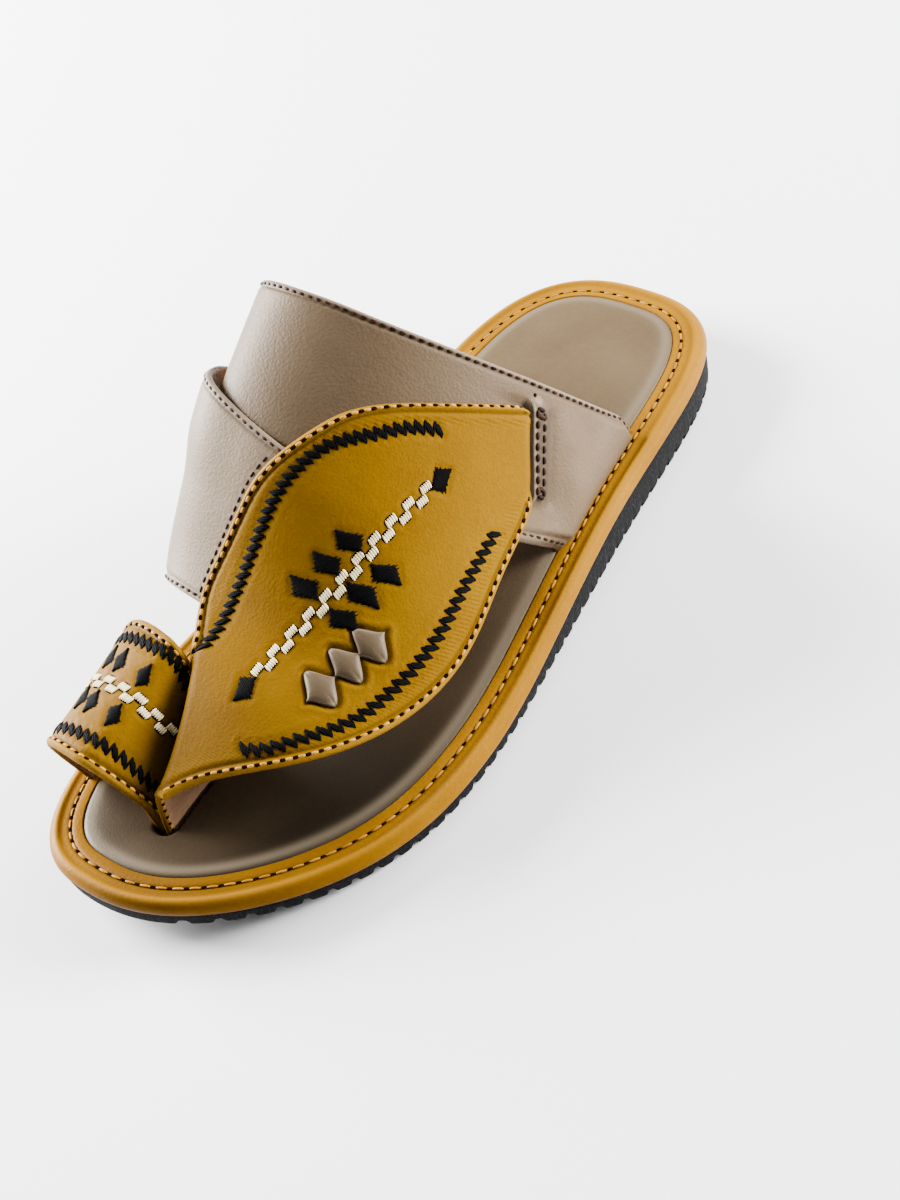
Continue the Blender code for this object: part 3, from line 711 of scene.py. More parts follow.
def leather_sheet(name, lining, wall, relief, finishes, marks):
    """Closed sheet over a grid on its lining side.

    Inner and outer face swell from one line at the border as a half round of the wall's thickness, and
    the relief is added to the outer face. Returns the piece, its outer face and its inner face.
    """
    columns, rows = lining.shape[:2]
    normal = grid_normals(lining)
    away = border_distances(lining).min(0)
    half = wall / 2
    swell = half * np.sqrt(1 - (1 - np.clip(away / half, 0, 1)) ** 2)
    middle = lining + normal * half
    outer = middle + normal * (swell + relief * ease(away, 0.0, half))[..., None]
    inner = middle - normal * swell[..., None]
    number = np.arange(columns * rows).reshape(columns, rows)
    under = number.copy()
    hidden = (columns - 2) * (rows - 2)
    under[1:-1, 1:-1] = number.size + np.arange(hidden).reshape(columns - 2, rows - 2)
    faces = np.concatenate([grid_quads(number), grid_quads(under)[:, ::-1]])
    turned_in = away[:-1, :-1].ravel() < 0.5
    face_finish = np.r_[np.zeros(len(turned_in)), np.where(turned_in, 0, 1)]
    points = np.concatenate([outer.reshape(-1, 3), inner[1:-1, 1:-1].reshape(-1, 3)])
    padded_marks = {mark: np.r_[values.ravel(), np.zeros(hidden)] for mark, values in marks.items()}
    made = add_piece(name, points, faces.tolist(), finishes, face_finish, padded_marks)
    return made, outer, inner


def level_line(face, away, inset):
    """Line on a face where a distance that grows along the first axis reaches an inset, and its normals.

    On every grid line the two points on either side of that distance are mixed.
    """
    normal = grid_normals(face)
    at = np.clip((away < inset).sum(0), 1, len(away) - 1)
    pick = np.arange(away.shape[1])
    low, high = away[at - 1, pick], away[at, pick]
    share = np.clip((inset - low) / np.maximum(high - low, 1e-6), 0, 1)[:, None]
    return face[at - 1, pick] + (face[at, pick] - face[at - 1, pick]) * share, normal[at, pick]


def seam(face, side, inset, keep=None):
    """Line a set distance in from one border of a sheet, and the sheet's outward normals there."""
    away = border_distances(face)[side]
    outward = grid_normals(face)
    turned = (face, away) if side < 2 else (face.swapaxes(0, 1), away.T)
    turned = turned if side % 2 == 0 else tuple(part[::-1] for part in turned)
    line, normal = level_line(*turned, inset)
    flip = np.sign((normal * outward[outward.shape[0] // 2, outward.shape[1] // 2]).sum(1).mean())
    kept = slice(None) if keep is None else keep
    return line[kept], normal[kept] * flip


def stitches(line, normal, pitch, length, ends=(0.0, 0.0)):
    """Starts, ends, normals and middles of even stitches along a line, and of the gaps between them."""
    run = length_along(line)
    room = run[-1] - sum(ends)
    count = max(int(round(room / pitch)), 1)
    step = room / count
    middle = ends[0] + (np.arange(count) + 0.5) * step

    def strokes(where, half):
        start, end, centre = (read_off(where + shift, run, line) for shift in (-half, half, 0.0))
        return start, end, unit(read_off(where, run, normal)), centre

    return strokes(middle, length / 2), strokes(middle + step / 2, (step - length) / 2 + HOLE_OVERLAP)


def rod_template():
    """Rounded rod of unit half sizes: circles whose radius falls off as a superellipse to each end."""
    x = np.array((-0.94, -0.74, -0.3, 0.3, 0.74, 0.94))
    around = 6
    turn = np.arange(around) * 2 * np.pi / around
    radius = np.sqrt(1 - np.abs(x) ** 3)[:, None]
    rings = np.stack([x[:, None] + 0 * turn, radius * np.cos(turn), radius * np.sin(turn)], -1)
    points = np.concatenate([rings.reshape(-1, 3), [(-1.0, 0.0, 0.0), (1.0, 0.0, 0.0)]])
    number = np.arange(len(x) * around).reshape(len(x), around)
    looped = np.concatenate([number, number[:, :1]], axis=1)
    first, final = len(points) - 2, len(points) - 1
    caps = [(looped[0, i], looped[0, i + 1], first) for i in range(around)]
    caps += [(looped[-1, i + 1], looped[-1, i], final) for i in range(around)]
    return points, grid_quads(looped), np.array(caps)


def add_threads(name, strokes, width, height, finish, slot, droop):
    """Rods laid from start over the middle to the end, bowed as a parabola, their ends drawn down."""
    start, end, normal, middle = (np.concatenate(part) for part in zip(*strokes))
    shape, quads, caps = rod_template()
    half = (end - start) / 2
    side = unit(np.cross(normal, half))
    up = unit(np.cross(half, side))
    x, y, z = (shape[:, i][None, :, None] for i in range(3))
    bow = middle - (start + end) / 2
    points = (start + end)[:, None] / 2 + x * half[:, None] + y * side[:, None] * width / 2
    points = points + (1 - x ** 2) * bow[:, None]
    points = points + (z * height / 2 - droop * x ** 2) * up[:, None]
    offset = (np.arange(len(start)) * len(shape))[:, None, None]
    faces = (quads[None] + offset).reshape(-1, 4).tolist() + (caps[None] + offset).reshape(-1, 3).tolist()
    tint = np.repeat((np.arange(len(start)) * 0.618034) % 1.0, len(shape))
    return add_piece(name, points, faces, [finish], marks={"shade": tint})


def spots(skin, knots, count):
    """Even spots on a needlework line: their parameters, spacing, and the line's direction, the leather's
    normal and the sideways direction there. The line is a spline through its knots."""
    knots = np.asarray(knots, float)
    reach = length_along(skin(*knots.T))
    fine = np.linspace(0, reach[-1], 400)
    path = np.stack([spline(reach, knots[:, i], fine) for i in range(2)], -1)
    points = skin(*path.T)
    run = length_along(points)
    at = (np.arange(count) + 0.5) * run[-1] / count
    where = read_off(at, run, path)
    along = unit(read_off(at, run, np.gradient(points, axis=0)))
    normal = slopes(skin, where)[2]
    return where, run[-1] / count, along, normal, np.cross(normal, along)


def slopes(skin, where):
    """Slopes of a skin along its two parameters, and its outward normal."""
    a, b = where.T
    first = (skin(a + SMALL, b) - skin(a - SMALL, b)) / (2 * SMALL)
    row_step = SMALL if skin is loop_skin else ROW_STEP
    second = (skin(a, b + row_step) - skin(a, b - row_step)) / (2 * row_step)
    return first, second, unit(np.cross(second, first))


def moved(skin, where, move):
    """Point of the skin reached from a spot by a short move: the move is solved for the two slopes.

    On the loop, whose slope jumps at its crest, what is left of the move is solved once more.
    """
    target = skin(*where.T) + move
    for _ in range(2 if skin is loop_skin else 1):
        first, second, _ = slopes(skin, where)
        left = target - skin(*where.T)
        aa, ab, bb = (first * first).sum(1), (first * second).sum(1), (second * second).sum(1)
        am, bm = (first * left).sum(1), (second * left).sum(1)
        scale = aa * bb - ab * ab
        where = where + np.stack([(am * bb - bm * ab) / scale, (bm * aa - am * ab) / scale], -1)
    return skin(*where.T)


def zigzag(skin, knots, teeth):
    """Satin zigzag: bundles of three threads slant across the line over one pitch, and a single thread
    goes straight back across to the next bundle."""
    where, pitch, along, normal, side = spots(skin, knots, teeth)
    bars = []
    for shift in (-0.62, 0.0, 0.62):
        short = 1 - 0.5 * abs(shift)
        reach = (along * pitch - side * ZIGZAG_SWING) / 2 * short
        ahead = moved(skin, where, along * shift + reach)
        back = moved(skin, where, along * shift - reach)
        bars.append((ahead, back, normal, moved(skin, where, along * shift)))
    start, end = bars[1][0][:-1], bars[1][1][1:]
    return bars, (start, end, normal[:-1], (start + end) / 2 + 0.1 * normal[:-1])


def chain(skin, knots, blocks):
    """Two staggered rows of satin blocks: each block is five threads side by side across the line."""
    where, _, along, normal, side = spots(skin, knots, blocks)
    row = np.where(np.arange(blocks) % 2, 1.0, -1.0)[:, None] * 1.2
    threads = []
    for step in (-1.6, -0.8, 0.0, 0.8, 1.6):
        near = moved(skin, where, along * (step - 0.3) + side * (row - 1.3))
        far = moved(skin, where, along * (step + 0.3) + side * (row + 1.3))
        threads.append((near, far, normal, moved(skin, where, along * step + side * row)))
    # a flat dark stroke under each block, from its rear to its front: the block's painted shadow
    front = moved(skin, where, along * 2.5 + side * row)
    rear = moved(skin, where, -along * 2.5 + side * row)
    return threads, (rear, front, normal, moved(skin, where, side * row))


def satin_leaf(skin, base, tip, width):
    """Pointed leaf of slanted parallel threads, widest nearer its base, its outline drawn in to both ends
    and stepped where the threads turn back."""
    base, tip = np.array([base], float), np.array([tip], float)
    axis = skin(*tip.T) - skin(*base.T)
    x = np.linspace(0.02, 0.98, int(np.linalg.norm(axis) / LEAF_PITCH))
    where = base + (tip - base) * x[:, None]
    normal = slopes(skin, where)[2]
    along = unit(axis - (axis * normal).sum(1)[:, None] * normal)
    side = np.cross(normal, along)
    teeth = 1 + 0.13 * np.sin(np.arange(len(x)) * 2.4)
    half = (width / 2 * np.interp(x, *np.transpose(LEAF_OUTLINE)) * teeth + 0.2)[:, None]
    slant = 0.4 * half * (ease(x, 0.0, 0.2) * (1 - ease(x, 0.8, 1.0)))[:, None]
    reach = side * half + along * slant
    return moved(skin, where, reach), moved(skin, where, -reach), normal, skin(*where.T) + 0.12 * normal


def nearest(points, marks):
    """Distance from every grid point to the nearest of some marks, by the expanded square, in batches."""
    flat = points.reshape(-1, 3).astype(np.float32)
    marks = np.asarray(marks, np.float32).reshape(-1, 3)
    square = (flat ** 2).sum(1)[:, None]
    least = np.full(len(flat), 1e6, np.float32)
    for batch in np.array_split(marks, len(marks) // 300 + 1):
        least = np.minimum(least, (square + (batch ** 2).sum(1) - 2 * flat @ batch.T).min(1))
    return np.sqrt(np.clip(least, 0, None)).reshape(points.shape[:2])


def stroke_marks(strokes):
    """Points along strokes, for measuring how close the leather is to them."""
    share = np.linspace(0, 1, 5)[:, None, None]
    return np.concatenate([(start + (end - start) * share).reshape(-1, 3) for start, end, _, _ in strokes])


def needle_relief(points, strokes):
    """Leather drawn down along needlework, with a low pucker beside it, from the distance to the threads."""
    away = nearest(points, stroke_marks(strokes))
    return -0.2 * bell(away, 0.0, 0.9) + 0.05 * bell(away, 1.8, 0.8)


def outsole_piece(finish):
    """Foam wedge: a rounded section carried along Y, with grooves across its underside."""
    reach = LENGTH / 2 - OUTSOLE_INSET
    y = -reach * np.cos(np.linspace(0.02, np.pi - 0.02, 1000))
    left, right = edge_x(y, -1, OUTSOLE_INSET), edge_x(y, 1, OUTSOLE_INSET)
    centres = np.arange(-reach + PLAIN_TOE, reach - PLAIN_HEEL, LUG_PITCH)
    away = np.abs(y[:, None] - centres).min(1)
    low = floor_rise(y) + GROOVE_DEPTH * (1 - ease(away, *GROOVE_HALF))
    high = flange_top(y) - RAND_HEIGHT + 0.2
    soft = np.minimum(1.0, (right - left) / 8)
    inset, rise = (column[:, None] for column in np.transpose(OUTSOLE_SIDE))
    side = low + (high - low) * rise
    floor = [left + (right - left) * share for share in OUTSOLE_FLOOR]
    across = np.concatenate([left + inset * soft, floor, (right - inset * soft)[::-1]])
    height = np.concatenate([side, [low for _ in floor], side[::-1]])
    points = np.stack([across, np.broadcast_to(y, across.shape), height], -1)
    number = np.arange(across.size).reshape(across.shape)
    faces = grid_quads(np.concatenate([number, number[:1]])).tolist()
    faces += [number[:, 0].tolist(), number[:, -1].tolist()]
    return add_piece("ripple_outsole", points, faces, [finish])


def ring_quads(rings):
    """Quads between closed rings, and strips across the first ring."""
    number = np.arange(rings * RING_POINTS).reshape(rings, RING_POINTS)
    faces = grid_quads(np.concatenate([number, number[:, :1]], axis=1)).tolist()
    ring = number[0].tolist()
    strips = [(ring[i], ring[i + 1], ring[RING_POINTS - i - 1], ring[-i]) for i in range(RING_POINTS // 2)]
    return faces + [tuple(dict.fromkeys(strip)) for strip in strips]


def fine_profile(profile, count):
    """Spline through a profile of insets and heights, by its length."""
    profile = np.array(profile)
    run = length_along(profile)
    at = np.linspace(0, run[-1], count)
    return np.stack([spline(run, profile[:, i], at) for i in range(2)], -1)


def seam_inset(y):
    """Inset of the rand's stitches: a smooth step from toe to heel."""
    return RAND_SEAM_INSET[0] + (RAND_SEAM_INSET[1] - RAND_SEAM_INSET[0]) * ease(y, 0.0, LENGTH / 2)


def rand_piece(finish):
    """Wrapped midsole: the flange's profile carried round the outline, with an inner floor."""
    profile = np.concatenate([fine_profile(RAND_PROFILE, 60), np.array(RAND_FLOOR)])
    flat = np.stack([outline(inset, RING_POINTS) for inset in profile[:, 0]])
    inset = np.broadcast_to(profile[:, :1], flat.shape[:2])
    past_seam = inset - seam_inset(flat[..., 1])
    height = flange_top(flat[..., 1]) + profile[:, 1][:, None]
    height = height - 0.4 * bell(past_seam, 0.0, 0.7) * (inset < 10.0)
    points = np.concatenate([flat, height[..., None]], -1)
    faces = ring_quads(len(profile))
    faces.append((np.arange(RING_POINTS) + (len(profile) - 1) * RING_POINTS).tolist())
    angle = np.broadcast_to(np.arange(RING_POINTS), inset.shape)
    # painted shade: in the valley beside the stitches, in the stitch groove and on the inner edge under the
    # insole
    shade = 0.2 * bell(inset, 5.0, 1.0) + 0.45 * bell(past_seam, 0.0, 0.5) + 0.6 * ease(inset, 10.5, 11.2)
    for middle, run, width, strength in SCUFFS:
        shade = shade + strength * bell(angle, middle, run) * bell(inset, 0.3, width)
    # painted shade over the toe, but for its medial side
    front = (1 - ease(flat[..., 1], -130.0, -50.0)) * ease(flat[..., 0], -25.0, 15.0)
    shade = np.maximum(shade, 0.6 * front)
    # painted highlight along the bead's crest
    rub_and_highlight = 0.4 * bell(inset, 2.6, 0.9)
    return add_piece("wrapped_rand", points, faces, [finish], marks={"shade": shade, "rub_and_highlight": rub_and_highlight})


def slot_dent(x, y):
    """Depth of the toe post's slot: full near its middle line, eased out at its mouth."""
    start = np.array((POST_FRONT[0] - 2.5, POST_FRONT[1] + 1.5))
    end = np.array((POST_BACK[0] - 2.5, POST_BACK[1] + 1.5))
    run = end - start
    share = np.clip(((x - start[0]) * run[0] + (y - start[1]) * run[1]) / (run @ run), 0, 1)
    away = np.hypot(x - start[0] - share * run[0], y - start[1] - share * run[1])
    return SLOT_DEPTH * (1 - ease(away, *SLOT_HALF))


def insole_piece(finish):
    """Footbed: a rounded rim carried round the outline, then rings drawn in to the long middle line."""
    rim = fine_profile(INSOLE_PROFILE, 34)
    rings = [np.c_[outline(inset, RING_POINTS), np.full(RING_POINTS, height)] for inset, height in rim]
    spine_y = outline(0.0, RING_POINTS)[:, 1] * 0.72
    spine_x = (edge_x(spine_y, -1, 23.0) + edge_x(spine_y, 1, 23.0)) / 2
    spine = np.c_[spine_x, spine_y, np.full(RING_POINTS, rim[-1, 1] + 0.1)]
    rings += [rings[len(rim) - 1] + (spine - rings[len(rim) - 1]) * t for t in np.linspace(0, 1, 26)[1:]]
    points = np.stack(rings)
    points[..., 2] += flange_top(points[..., 1]) - slot_dent(points[..., 0], points[..., 1])
    # painted shade: in the toe post's slot, over the front of the footbed under the vamp and straps, and
    # beside the vamp on the lateral side
    shade = 0.7 * slot_dent(points[..., 0], points[..., 1]) / SLOT_DEPTH
    shade = shade + 0.62 * (1 - ease(points[..., 1], -80.0, 45.0))
    shade = shade + 0.3 * ease(points[..., 0], 15.0, 45.0) * (1 - ease(points[..., 1], 10.0, 60.0))
    # painted highlight: a sheen band along the rounded rim
    inset = np.r_[rim[:, 0], np.full(len(rings) - len(rim), 60.0)]
    rub_and_highlight = np.broadcast_to(0.5 * bell(inset, 13.4, 1.7)[:, None], shade.shape)
    marks = {"shade": shade, "rub_and_highlight": rub_and_highlight}
    made = add_piece("footbed", points, ring_quads(len(rings)), [finish], marks=marks)
    return made


def with_feet(lining, first, second):
    """Sheet whose first and last columns are drawn on down, straight, so that its feet are held."""
    down = np.array((0.0, 0.0, -FOOT_TUCK))
    parts = [lining]
    if first:
        parts.insert(0, lining[:1] + down)
    if second:
        parts.append(lining[-1:] + down)
    return np.concatenate(parts)


def rear_strap_piece(finishes):
    """Broad strap on the last; beside its slit a stitched lip stands up, with a soft pillow behind it.

    Along the rand's stitches its foot bulges out over the flange.
    """
    v = crowd(90)[None, :]
    front, back = REAR_STRAP_FRONT, REAR_STRAP_BACK
    slit = np.interp(front + v * (back + 1 - front), *np.transpose(SLIT))
    outside = np.sin(np.linspace(0, np.pi / 2, 60))[:, None]
    inside = np.concatenate([(0.004, 0.012), np.linspace(0.03, 1, 150)])[:, None]
    across = np.concatenate([outside * slit, slit + (2 - slit) * inside])
    rear = back + REAR_STRAP_BOW * np.sin(across * np.pi / 2) - FOOT_CORNER * (1 - ease(across, 0.0, 0.06))
    rear = rear - REAR_STRAP_TAPER * ease(across, *TAPER_ACROSS)
    station = front + v * (rear - front)
    lining = with_feet(last(across, station), True, True)
    past = (slit - across) * 100.0
    across, station, past = (np.pad(item, ((1, 1), (0, 0)), "edge") for item in (across, station, past))
    away = border_distances(lining)
    lip_run = ease(station, *SLIT_RUN[:2]) * (1 - ease(station, *SLIT_RUN[2:]))
    lip = LIP_HEIGHT * bell(past, 0.0, 2.6) + 0.9 * bell(past, 2.6, 2.0) - 0.5 * bell(past, 6.2, 1.3)
    relief = np.where(past >= -0.01, lip, -1.9 * bell(past, 0.0, 6.0)) * lip_run
    pillow_run = ease(station, 32.0, 56.0) * (1 - ease(station, 64.0, 86.0))
    relief = relief + np.where(past > 0, PILLOW_HEIGHT * bell(past, 12.5, 4.5) * pillow_run, 0.0)
    foot_run = ease(away[2], 0.0, 5.0) * ease(away[3], 0.0, 5.0)
    relief = relief + FOOT_BULGE * bell(across, 0.03, 0.06) * foot_run
    relief = relief - 0.4 * bell(away[3], BACK_SEAM, 0.6) - 0.5 * bell(away[2], FRONT_SEAM, 0.7)
    relief = relief + 0.35 * bell(away[2], 1.5, 1.2)
    # painted shade: in the slit's gap, between its stitch rows, in the dent before the pillow, over the
    # strap's middle and along the stitch dips
    slit_shade = 0.97 * bell(past, -0.4, 0.7) + 0.6 * bell(past, 2.3, 1.4) + 0.55 * bell(past, 5.2, 1.5)
    shade = slit_shade * lip_run + 0.2 * bell(across, 0.55, 0.28)
    shade = shade + 0.25 * bell(away[3], BACK_SEAM, 0.5) + 0.25 * bell(away[2], FRONT_SEAM, 0.5)
    punched = nearest(lining, rear_strap_skin(*SLIT_HOLE) - (0.0, 0.0, STRAP_WALL))
    # paler rubbed edges with painted highlights, and painted highlights on the lip's edge and round the
    # punched hole
    rub_and_highlight = 0.5 * bell(away.min(0), 0.3, 0.8) + 0.6 * bell(punched, 1.5, 0.6)
    rub_and_highlight = rub_and_highlight + 0.6 * bell(past, 0.6, 0.25) * lip_run
    made, outer, _ = leather_sheet("rear_strap", lining, STRAP_WALL, relief, finishes,
                                   {"shade": shade, "rub_and_highlight": rub_and_highlight})
    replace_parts(made, "instep_straps")
    sewn = (station[31] > SLIT_RUN[1] - 1) & (station[31] < SLIT_RUN[2] + 1)
    beside, past = (grid[60:0:-1][:, sewn] for grid in (outer, past))
    rows = [level_line(beside, past, inset) for inset in SLIT_ROWS]
    return outer, [(line - 0.35 * normal, -normal) for line, normal in rows]


def side_strap_piece(finishes):
    """Medial strap on the last, lifted over the rear strap and flared at its back edge."""
    w, v = np.meshgrid(crowd(110), crowd(90), indexing="ij")
    inner = SIDE_STRAP_INNER[0] + (SIDE_STRAP_INNER[1] - SIDE_STRAP_INNER[0]) * v
    across = inner + (SIDE_STRAP_FOOT - inner) * w
    back = np.interp(across, *np.transpose(SIDE_STRAP_BACK))
    station = SIDE_STRAP_FRONT + v * (back - SIDE_STRAP_FRONT)
    lining = with_feet(last(across, station, side_strap_lift(across, station, v)), False, True)
    away = border_distances(lining)
    relief = -0.4 * bell(away[3], BACK_SEAM, 0.6) - 0.4 * bell(away[2], BACK_SEAM, 0.6)
    # painted shade along the stitch dips
    shade = 0.25 * bell(away[3], BACK_SEAM, 0.5) + 0.25 * bell(away[2], BACK_SEAM, 0.5)
    # painted light over the whole strap, plus paler rubbed edges with painted highlights
    rub_and_highlight = 0.4 + 0.3 * bell(away.min(0), 0.3, 0.8)
    made, outer, _ = leather_sheet("side_strap", lining, STRAP_WALL, relief, finishes,
                                   {"shade": shade, "rub_and_highlight": rub_and_highlight})
    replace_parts(made, "instep_straps")
    return outer


def vamp_rows():
    """Stations of the vamp's grid rows, close together at both ends."""
    share = 1 - (0.35 * np.linspace(0, 1, 230) + 0.65 * crowd(230)) ** (1 / VAMP_CROWDING)
    return VAMP[-1, 0] + (VAMP[0, 0] - VAMP[-1, 0]) * share


def vamp_piece(strokes, rims, finishes):
    """Leaf with fold and tab; its lateral edge sinks into the strap's slit, needlework draws it down and
    a trench runs round each puff."""
    station = vamp_rows()[None, :]
    leaf = 1 - np.cos(np.linspace(0, np.pi / 2, 140))
    strip = 1 + np.sin(np.linspace(0, np.pi / 2, 61))[1:]
    share = np.concatenate([leaf, strip])[:, None]
    lining = vamp_lining(share, station)
    away = border_distances(lining)
    sink = -EDGE_SINK * (1 - ease(away[0], 0.0, 5.0)) * ease(station, 40.0, 47.0)
    lining = lining + grid_normals(lining) * sink[..., None]
    outer = lining + grid_normals(lining) * VAMP_WALL
    open_edge = ease(np.broadcast_to(station, share.shape[:1] + station.shape[1:]), 47.0, 41.0)
    lateral, medial, front = away[0], away[1], away[2]
    seamed = np.minimum(lateral + 50 * (1 - open_edge), medial + 50 * ease(-station, 52.0, 60.0))
    relief = folded_edge(seamed) + needle_relief(outer, strokes)
    rim_away = nearest(outer, rims)
    relief = relief - 0.8 * bell(rim_away, 0.0, 0.9) + 0.25 * bell(rim_away, 2.0, 0.8)
    # painted shade: in the trench round each puff, along the stitch dips, along the edge that sinks into the
    # slit and over the toe end of the leaf
    shade = 0.75 * bell(rim_away, 0.0, 0.55) + 0.45 * bell(seamed, EDGE_SEAM, 0.4)
    shade = shade + 0.9 * bell(lateral, 0.2, 0.7) * (1 - open_edge) + 0.22 * ease(-station, 35.0, 75.0)
    # paler rubbed edges with painted highlights along the folded edges
    rub_and_highlight = 0.45 * bell(seamed, 0.9, 0.7) + 0.35 * bell(front, 0.5, 1.0)
    rib = 0.38 * bell(seamed, 6.2, 2.2)
    wave = np.broadcast_to(length_along(outer[0]) * 2 * np.pi / RIB_PITCH, shade.shape)
    marks = {"shade": shade, "rub_and_highlight": rub_and_highlight, "rib": rib, "run": wave}
    made, outer, inner = leather_sheet("leaf_vamp", lining, VAMP_WALL, relief, finishes, marks)
    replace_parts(made, "vamp")
    return outer, inner, station[0]


def loop_piece(strokes, finishes):
    """Toe loop: an arch of leather with folded, stitched edges."""
    across = np.linspace(0, 2, 150)[:, None]
    v = 2 * crowd(100)[None, :]
    v = v + LOOP_REAR_WIDER * bell(across, 0.4, 0.3) * ease(v, 1.5, 2.0)
    lining = with_feet(loop_lining(across, v), False, True)
    away = border_distances(lining)
    outer = lining + grid_normals(lining) * LOOP_WALL
    edge = np.minimum(away[2], away[3])
    relief = folded_edge(edge) + needle_relief(outer, strokes)
    beside = np.r_[across, across[-1:]]
    # painted shade along the stitch dips and over the lateral leg beside the vamp's fold
    shade = 0.45 * bell(edge, EDGE_SEAM, 0.4) + 0.6 * (1 - ease(beside, 0.3, 0.95))
    # paler rubbed edges with painted highlights
    rub_and_highlight = 0.45 * bell(edge, 0.9, 0.7)
    made, outer, _ = leather_sheet("toe_loop_band", lining, LOOP_WALL, relief, finishes,
                                   {"shade": shade, "rub_and_highlight": rub_and_highlight})
    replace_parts(made, "toe_loop")
    return outer


def puff_place(a, b, spot):
    """Place on the last of a point of a diamond whose sides run at a and b from -1 to 1.

    Along the row its half width falls off as a power of one minus a hyperbola, which rounds the two wide
    corners and draws the two long ones out into ears.
    """
    across, station, ends = spot
    wide, long = (a + b) / 2, (a - b) / 2
    taper = np.maximum(1 - np.abs(long), 1e-6)
    rounded = (np.hypot(long, PUFF_ROUND) - PUFF_ROUND) / (np.hypot(1, PUFF_ROUND) - PUFF_ROUND)
    wide = wide * np.maximum(1 - rounded, 0) ** PUFF_EARS / taper
    wide, long = wide * PUFF_WIDE, long * np.where(long < 0, ends[0], ends[1])
    cosine, sine = np.cos(PUFF_TURN), np.sin(PUFF_TURN)
    middle = vamp_face(across, station)
    step_u = np.linalg.norm(vamp_face(across + SMALL, station) - middle) / SMALL
    step_s = np.linalg.norm(vamp_face(across, station + SMALL) - middle) / SMALL
    return across + (long * sine - wide * cosine) / step_u, station + (wide * sine + long * cosine) / step_s


def puff_rim(spot):
    """Points round a puff's edge on the vamp's outer face."""
    side = np.linspace(-1, 1, 25)
    one = np.ones_like(side)
    u, s = puff_place(np.r_[side, one, side, -one], np.r_[one, side, -one, side], spot)
    return last(u, s, vamp_lift(u, s) + VAMP_WALL)


def puff_piece(number, spot, finish):
    """Stuffed diamond: the dome is the product of two parabolas to a small power, on a flat back."""
    steps = np.sin(np.linspace(-np.pi / 2, np.pi / 2, PUFF_STEPS))
    a, b = np.meshgrid(steps, steps, indexing="ij")
    dome = PUFF_HEIGHT * ((1 - a ** 2) * (1 - b ** 2)) ** PUFF_FULLNESS
    u, s = puff_place(a, b, spot)
    seat = vamp_lift(u, s) + VAMP_WALL - PUFF_SUNK
    points = np.stack([last(u, s, seat + dome), last(u, s, seat)])
    number_grid = np.arange(PUFF_STEPS ** 2).reshape(PUFF_STEPS, PUFF_STEPS)
    faces = np.concatenate([grid_quads(number_grid), grid_quads(number_grid + PUFF_STEPS ** 2)[:, ::-1]])
    rim = np.maximum(np.abs(a), np.abs(b))
    # painted shade at the rim where the puff meets the vamp and on its hidden back; a painted highlight just
    # inside the rim
    marks = {"shade": np.r_[0.6 * ease(rim, 0.96, 1.0).ravel(), np.ones(a.size)],
             "rub_and_highlight": np.r_[0.55 * bell(rim, 0.9, 0.06).ravel(), np.zeros(a.size)]}
    made = add_piece("puff_%d" % number, points, faces.tolist(), [finish], marks=marks)
    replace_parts(made, "vamp_puff_%d" % number)


def puff_spots():
    """Across, station and corner lengths of each puff; only the first and the last have free corners."""
    count = len(PUFF_ACROSS)
    for i in range(count):
        lower = PUFF_LONG if i == count - 1 else PUFF_TUCKED
        yield PUFF_ACROSS[i], PUFF_STATION[i], (lower, PUFF_LONG)


def panel_work(skin, zigzags, leaves, chain_knots, blocks):
    """Strokes of one panel: bars and returns of its zigzags, its leaves, and blocks of its chain with their
    painted shadows.
    """
    bars, returns = [], []
    for knots, teeth in zigzags:
        bundles, single = zigzag(skin, knots, teeth)
        bars += bundles
        returns.append(single)
    cream, block_shadows = chain(skin, chain_knots, blocks)
    satin = [satin_leaf(skin, *leaf) for leaf in leaves]
    return {"bars": bars, "returns": returns, "leaves": satin, "cream": cream, "block_shadows": [block_shadows]}


def needlework():
    """Black zigzags and leaves and cream blocks over painted shadows, on the vamp and on the loop."""
    leaves = [(base, tip, LEAF_WIDTH) for base, tip in LEAVES]
    leaves += [(base, tip, END_LEAF_WIDTH) for base, tip in END_LEAVES]
    loop_leaves = [((across, base), (across, tip), LOOP_LEAF_WIDTH)
                   for across in LOOP_LEAF_ACROSS for base, tip in LOOP_LEAF_ENDS]
    zigzags = (MEDIAL_ZIGZAG, MEDIAL_TEETH), (LATERAL_ZIGZAG, LATERAL_TEETH)
    loop_zigzags = (LOOP_FRONT_ZIGZAG, LOOP_FRONT_TEETH), (LOOP_REAR_ZIGZAG, LOOP_REAR_TEETH)
    on_vamp = panel_work(vamp_skin, zigzags, leaves, CHAIN, CHAIN_BLOCKS)
    on_loop = panel_work(loop_skin, loop_zigzags, loop_leaves, LOOP_CHAIN, LOOP_CHAIN_BLOCKS)
    return on_vamp, on_loop


def drawn_down(work):
    """Strokes that draw the leather down: all but the blocks' painted shadows."""
    return [stroke for kind, strokes in work.items() if kind != "block_shadows" for stroke in strokes]


def hem_beside_vamp():
    """Line on the side strap a little outside the vamp's medial edge, and its normals."""
    station = np.linspace(-34.0, 27.0, 120)
    where = np.stack([vamp_edges(station)[2], station], -1)
    first, _, _ = slopes(side_strap_skin, where)
    where[:, 0] += HEM_OUTSIDE / np.linalg.norm(first, axis=1)
    return side_strap_skin(*where.T), slopes(side_strap_skin, where)[2]


def bar_tacks(rows):
    """Two short strokes across a pair of stitch rows at each end."""
    (near, normal), (far, _) = rows
    ends = np.array((0, 3, -4, -1))
    start, end = near[ends], far[ends]
    return start, end, normal[ends], (start + end) / 2 + 0.3 * normal[ends]


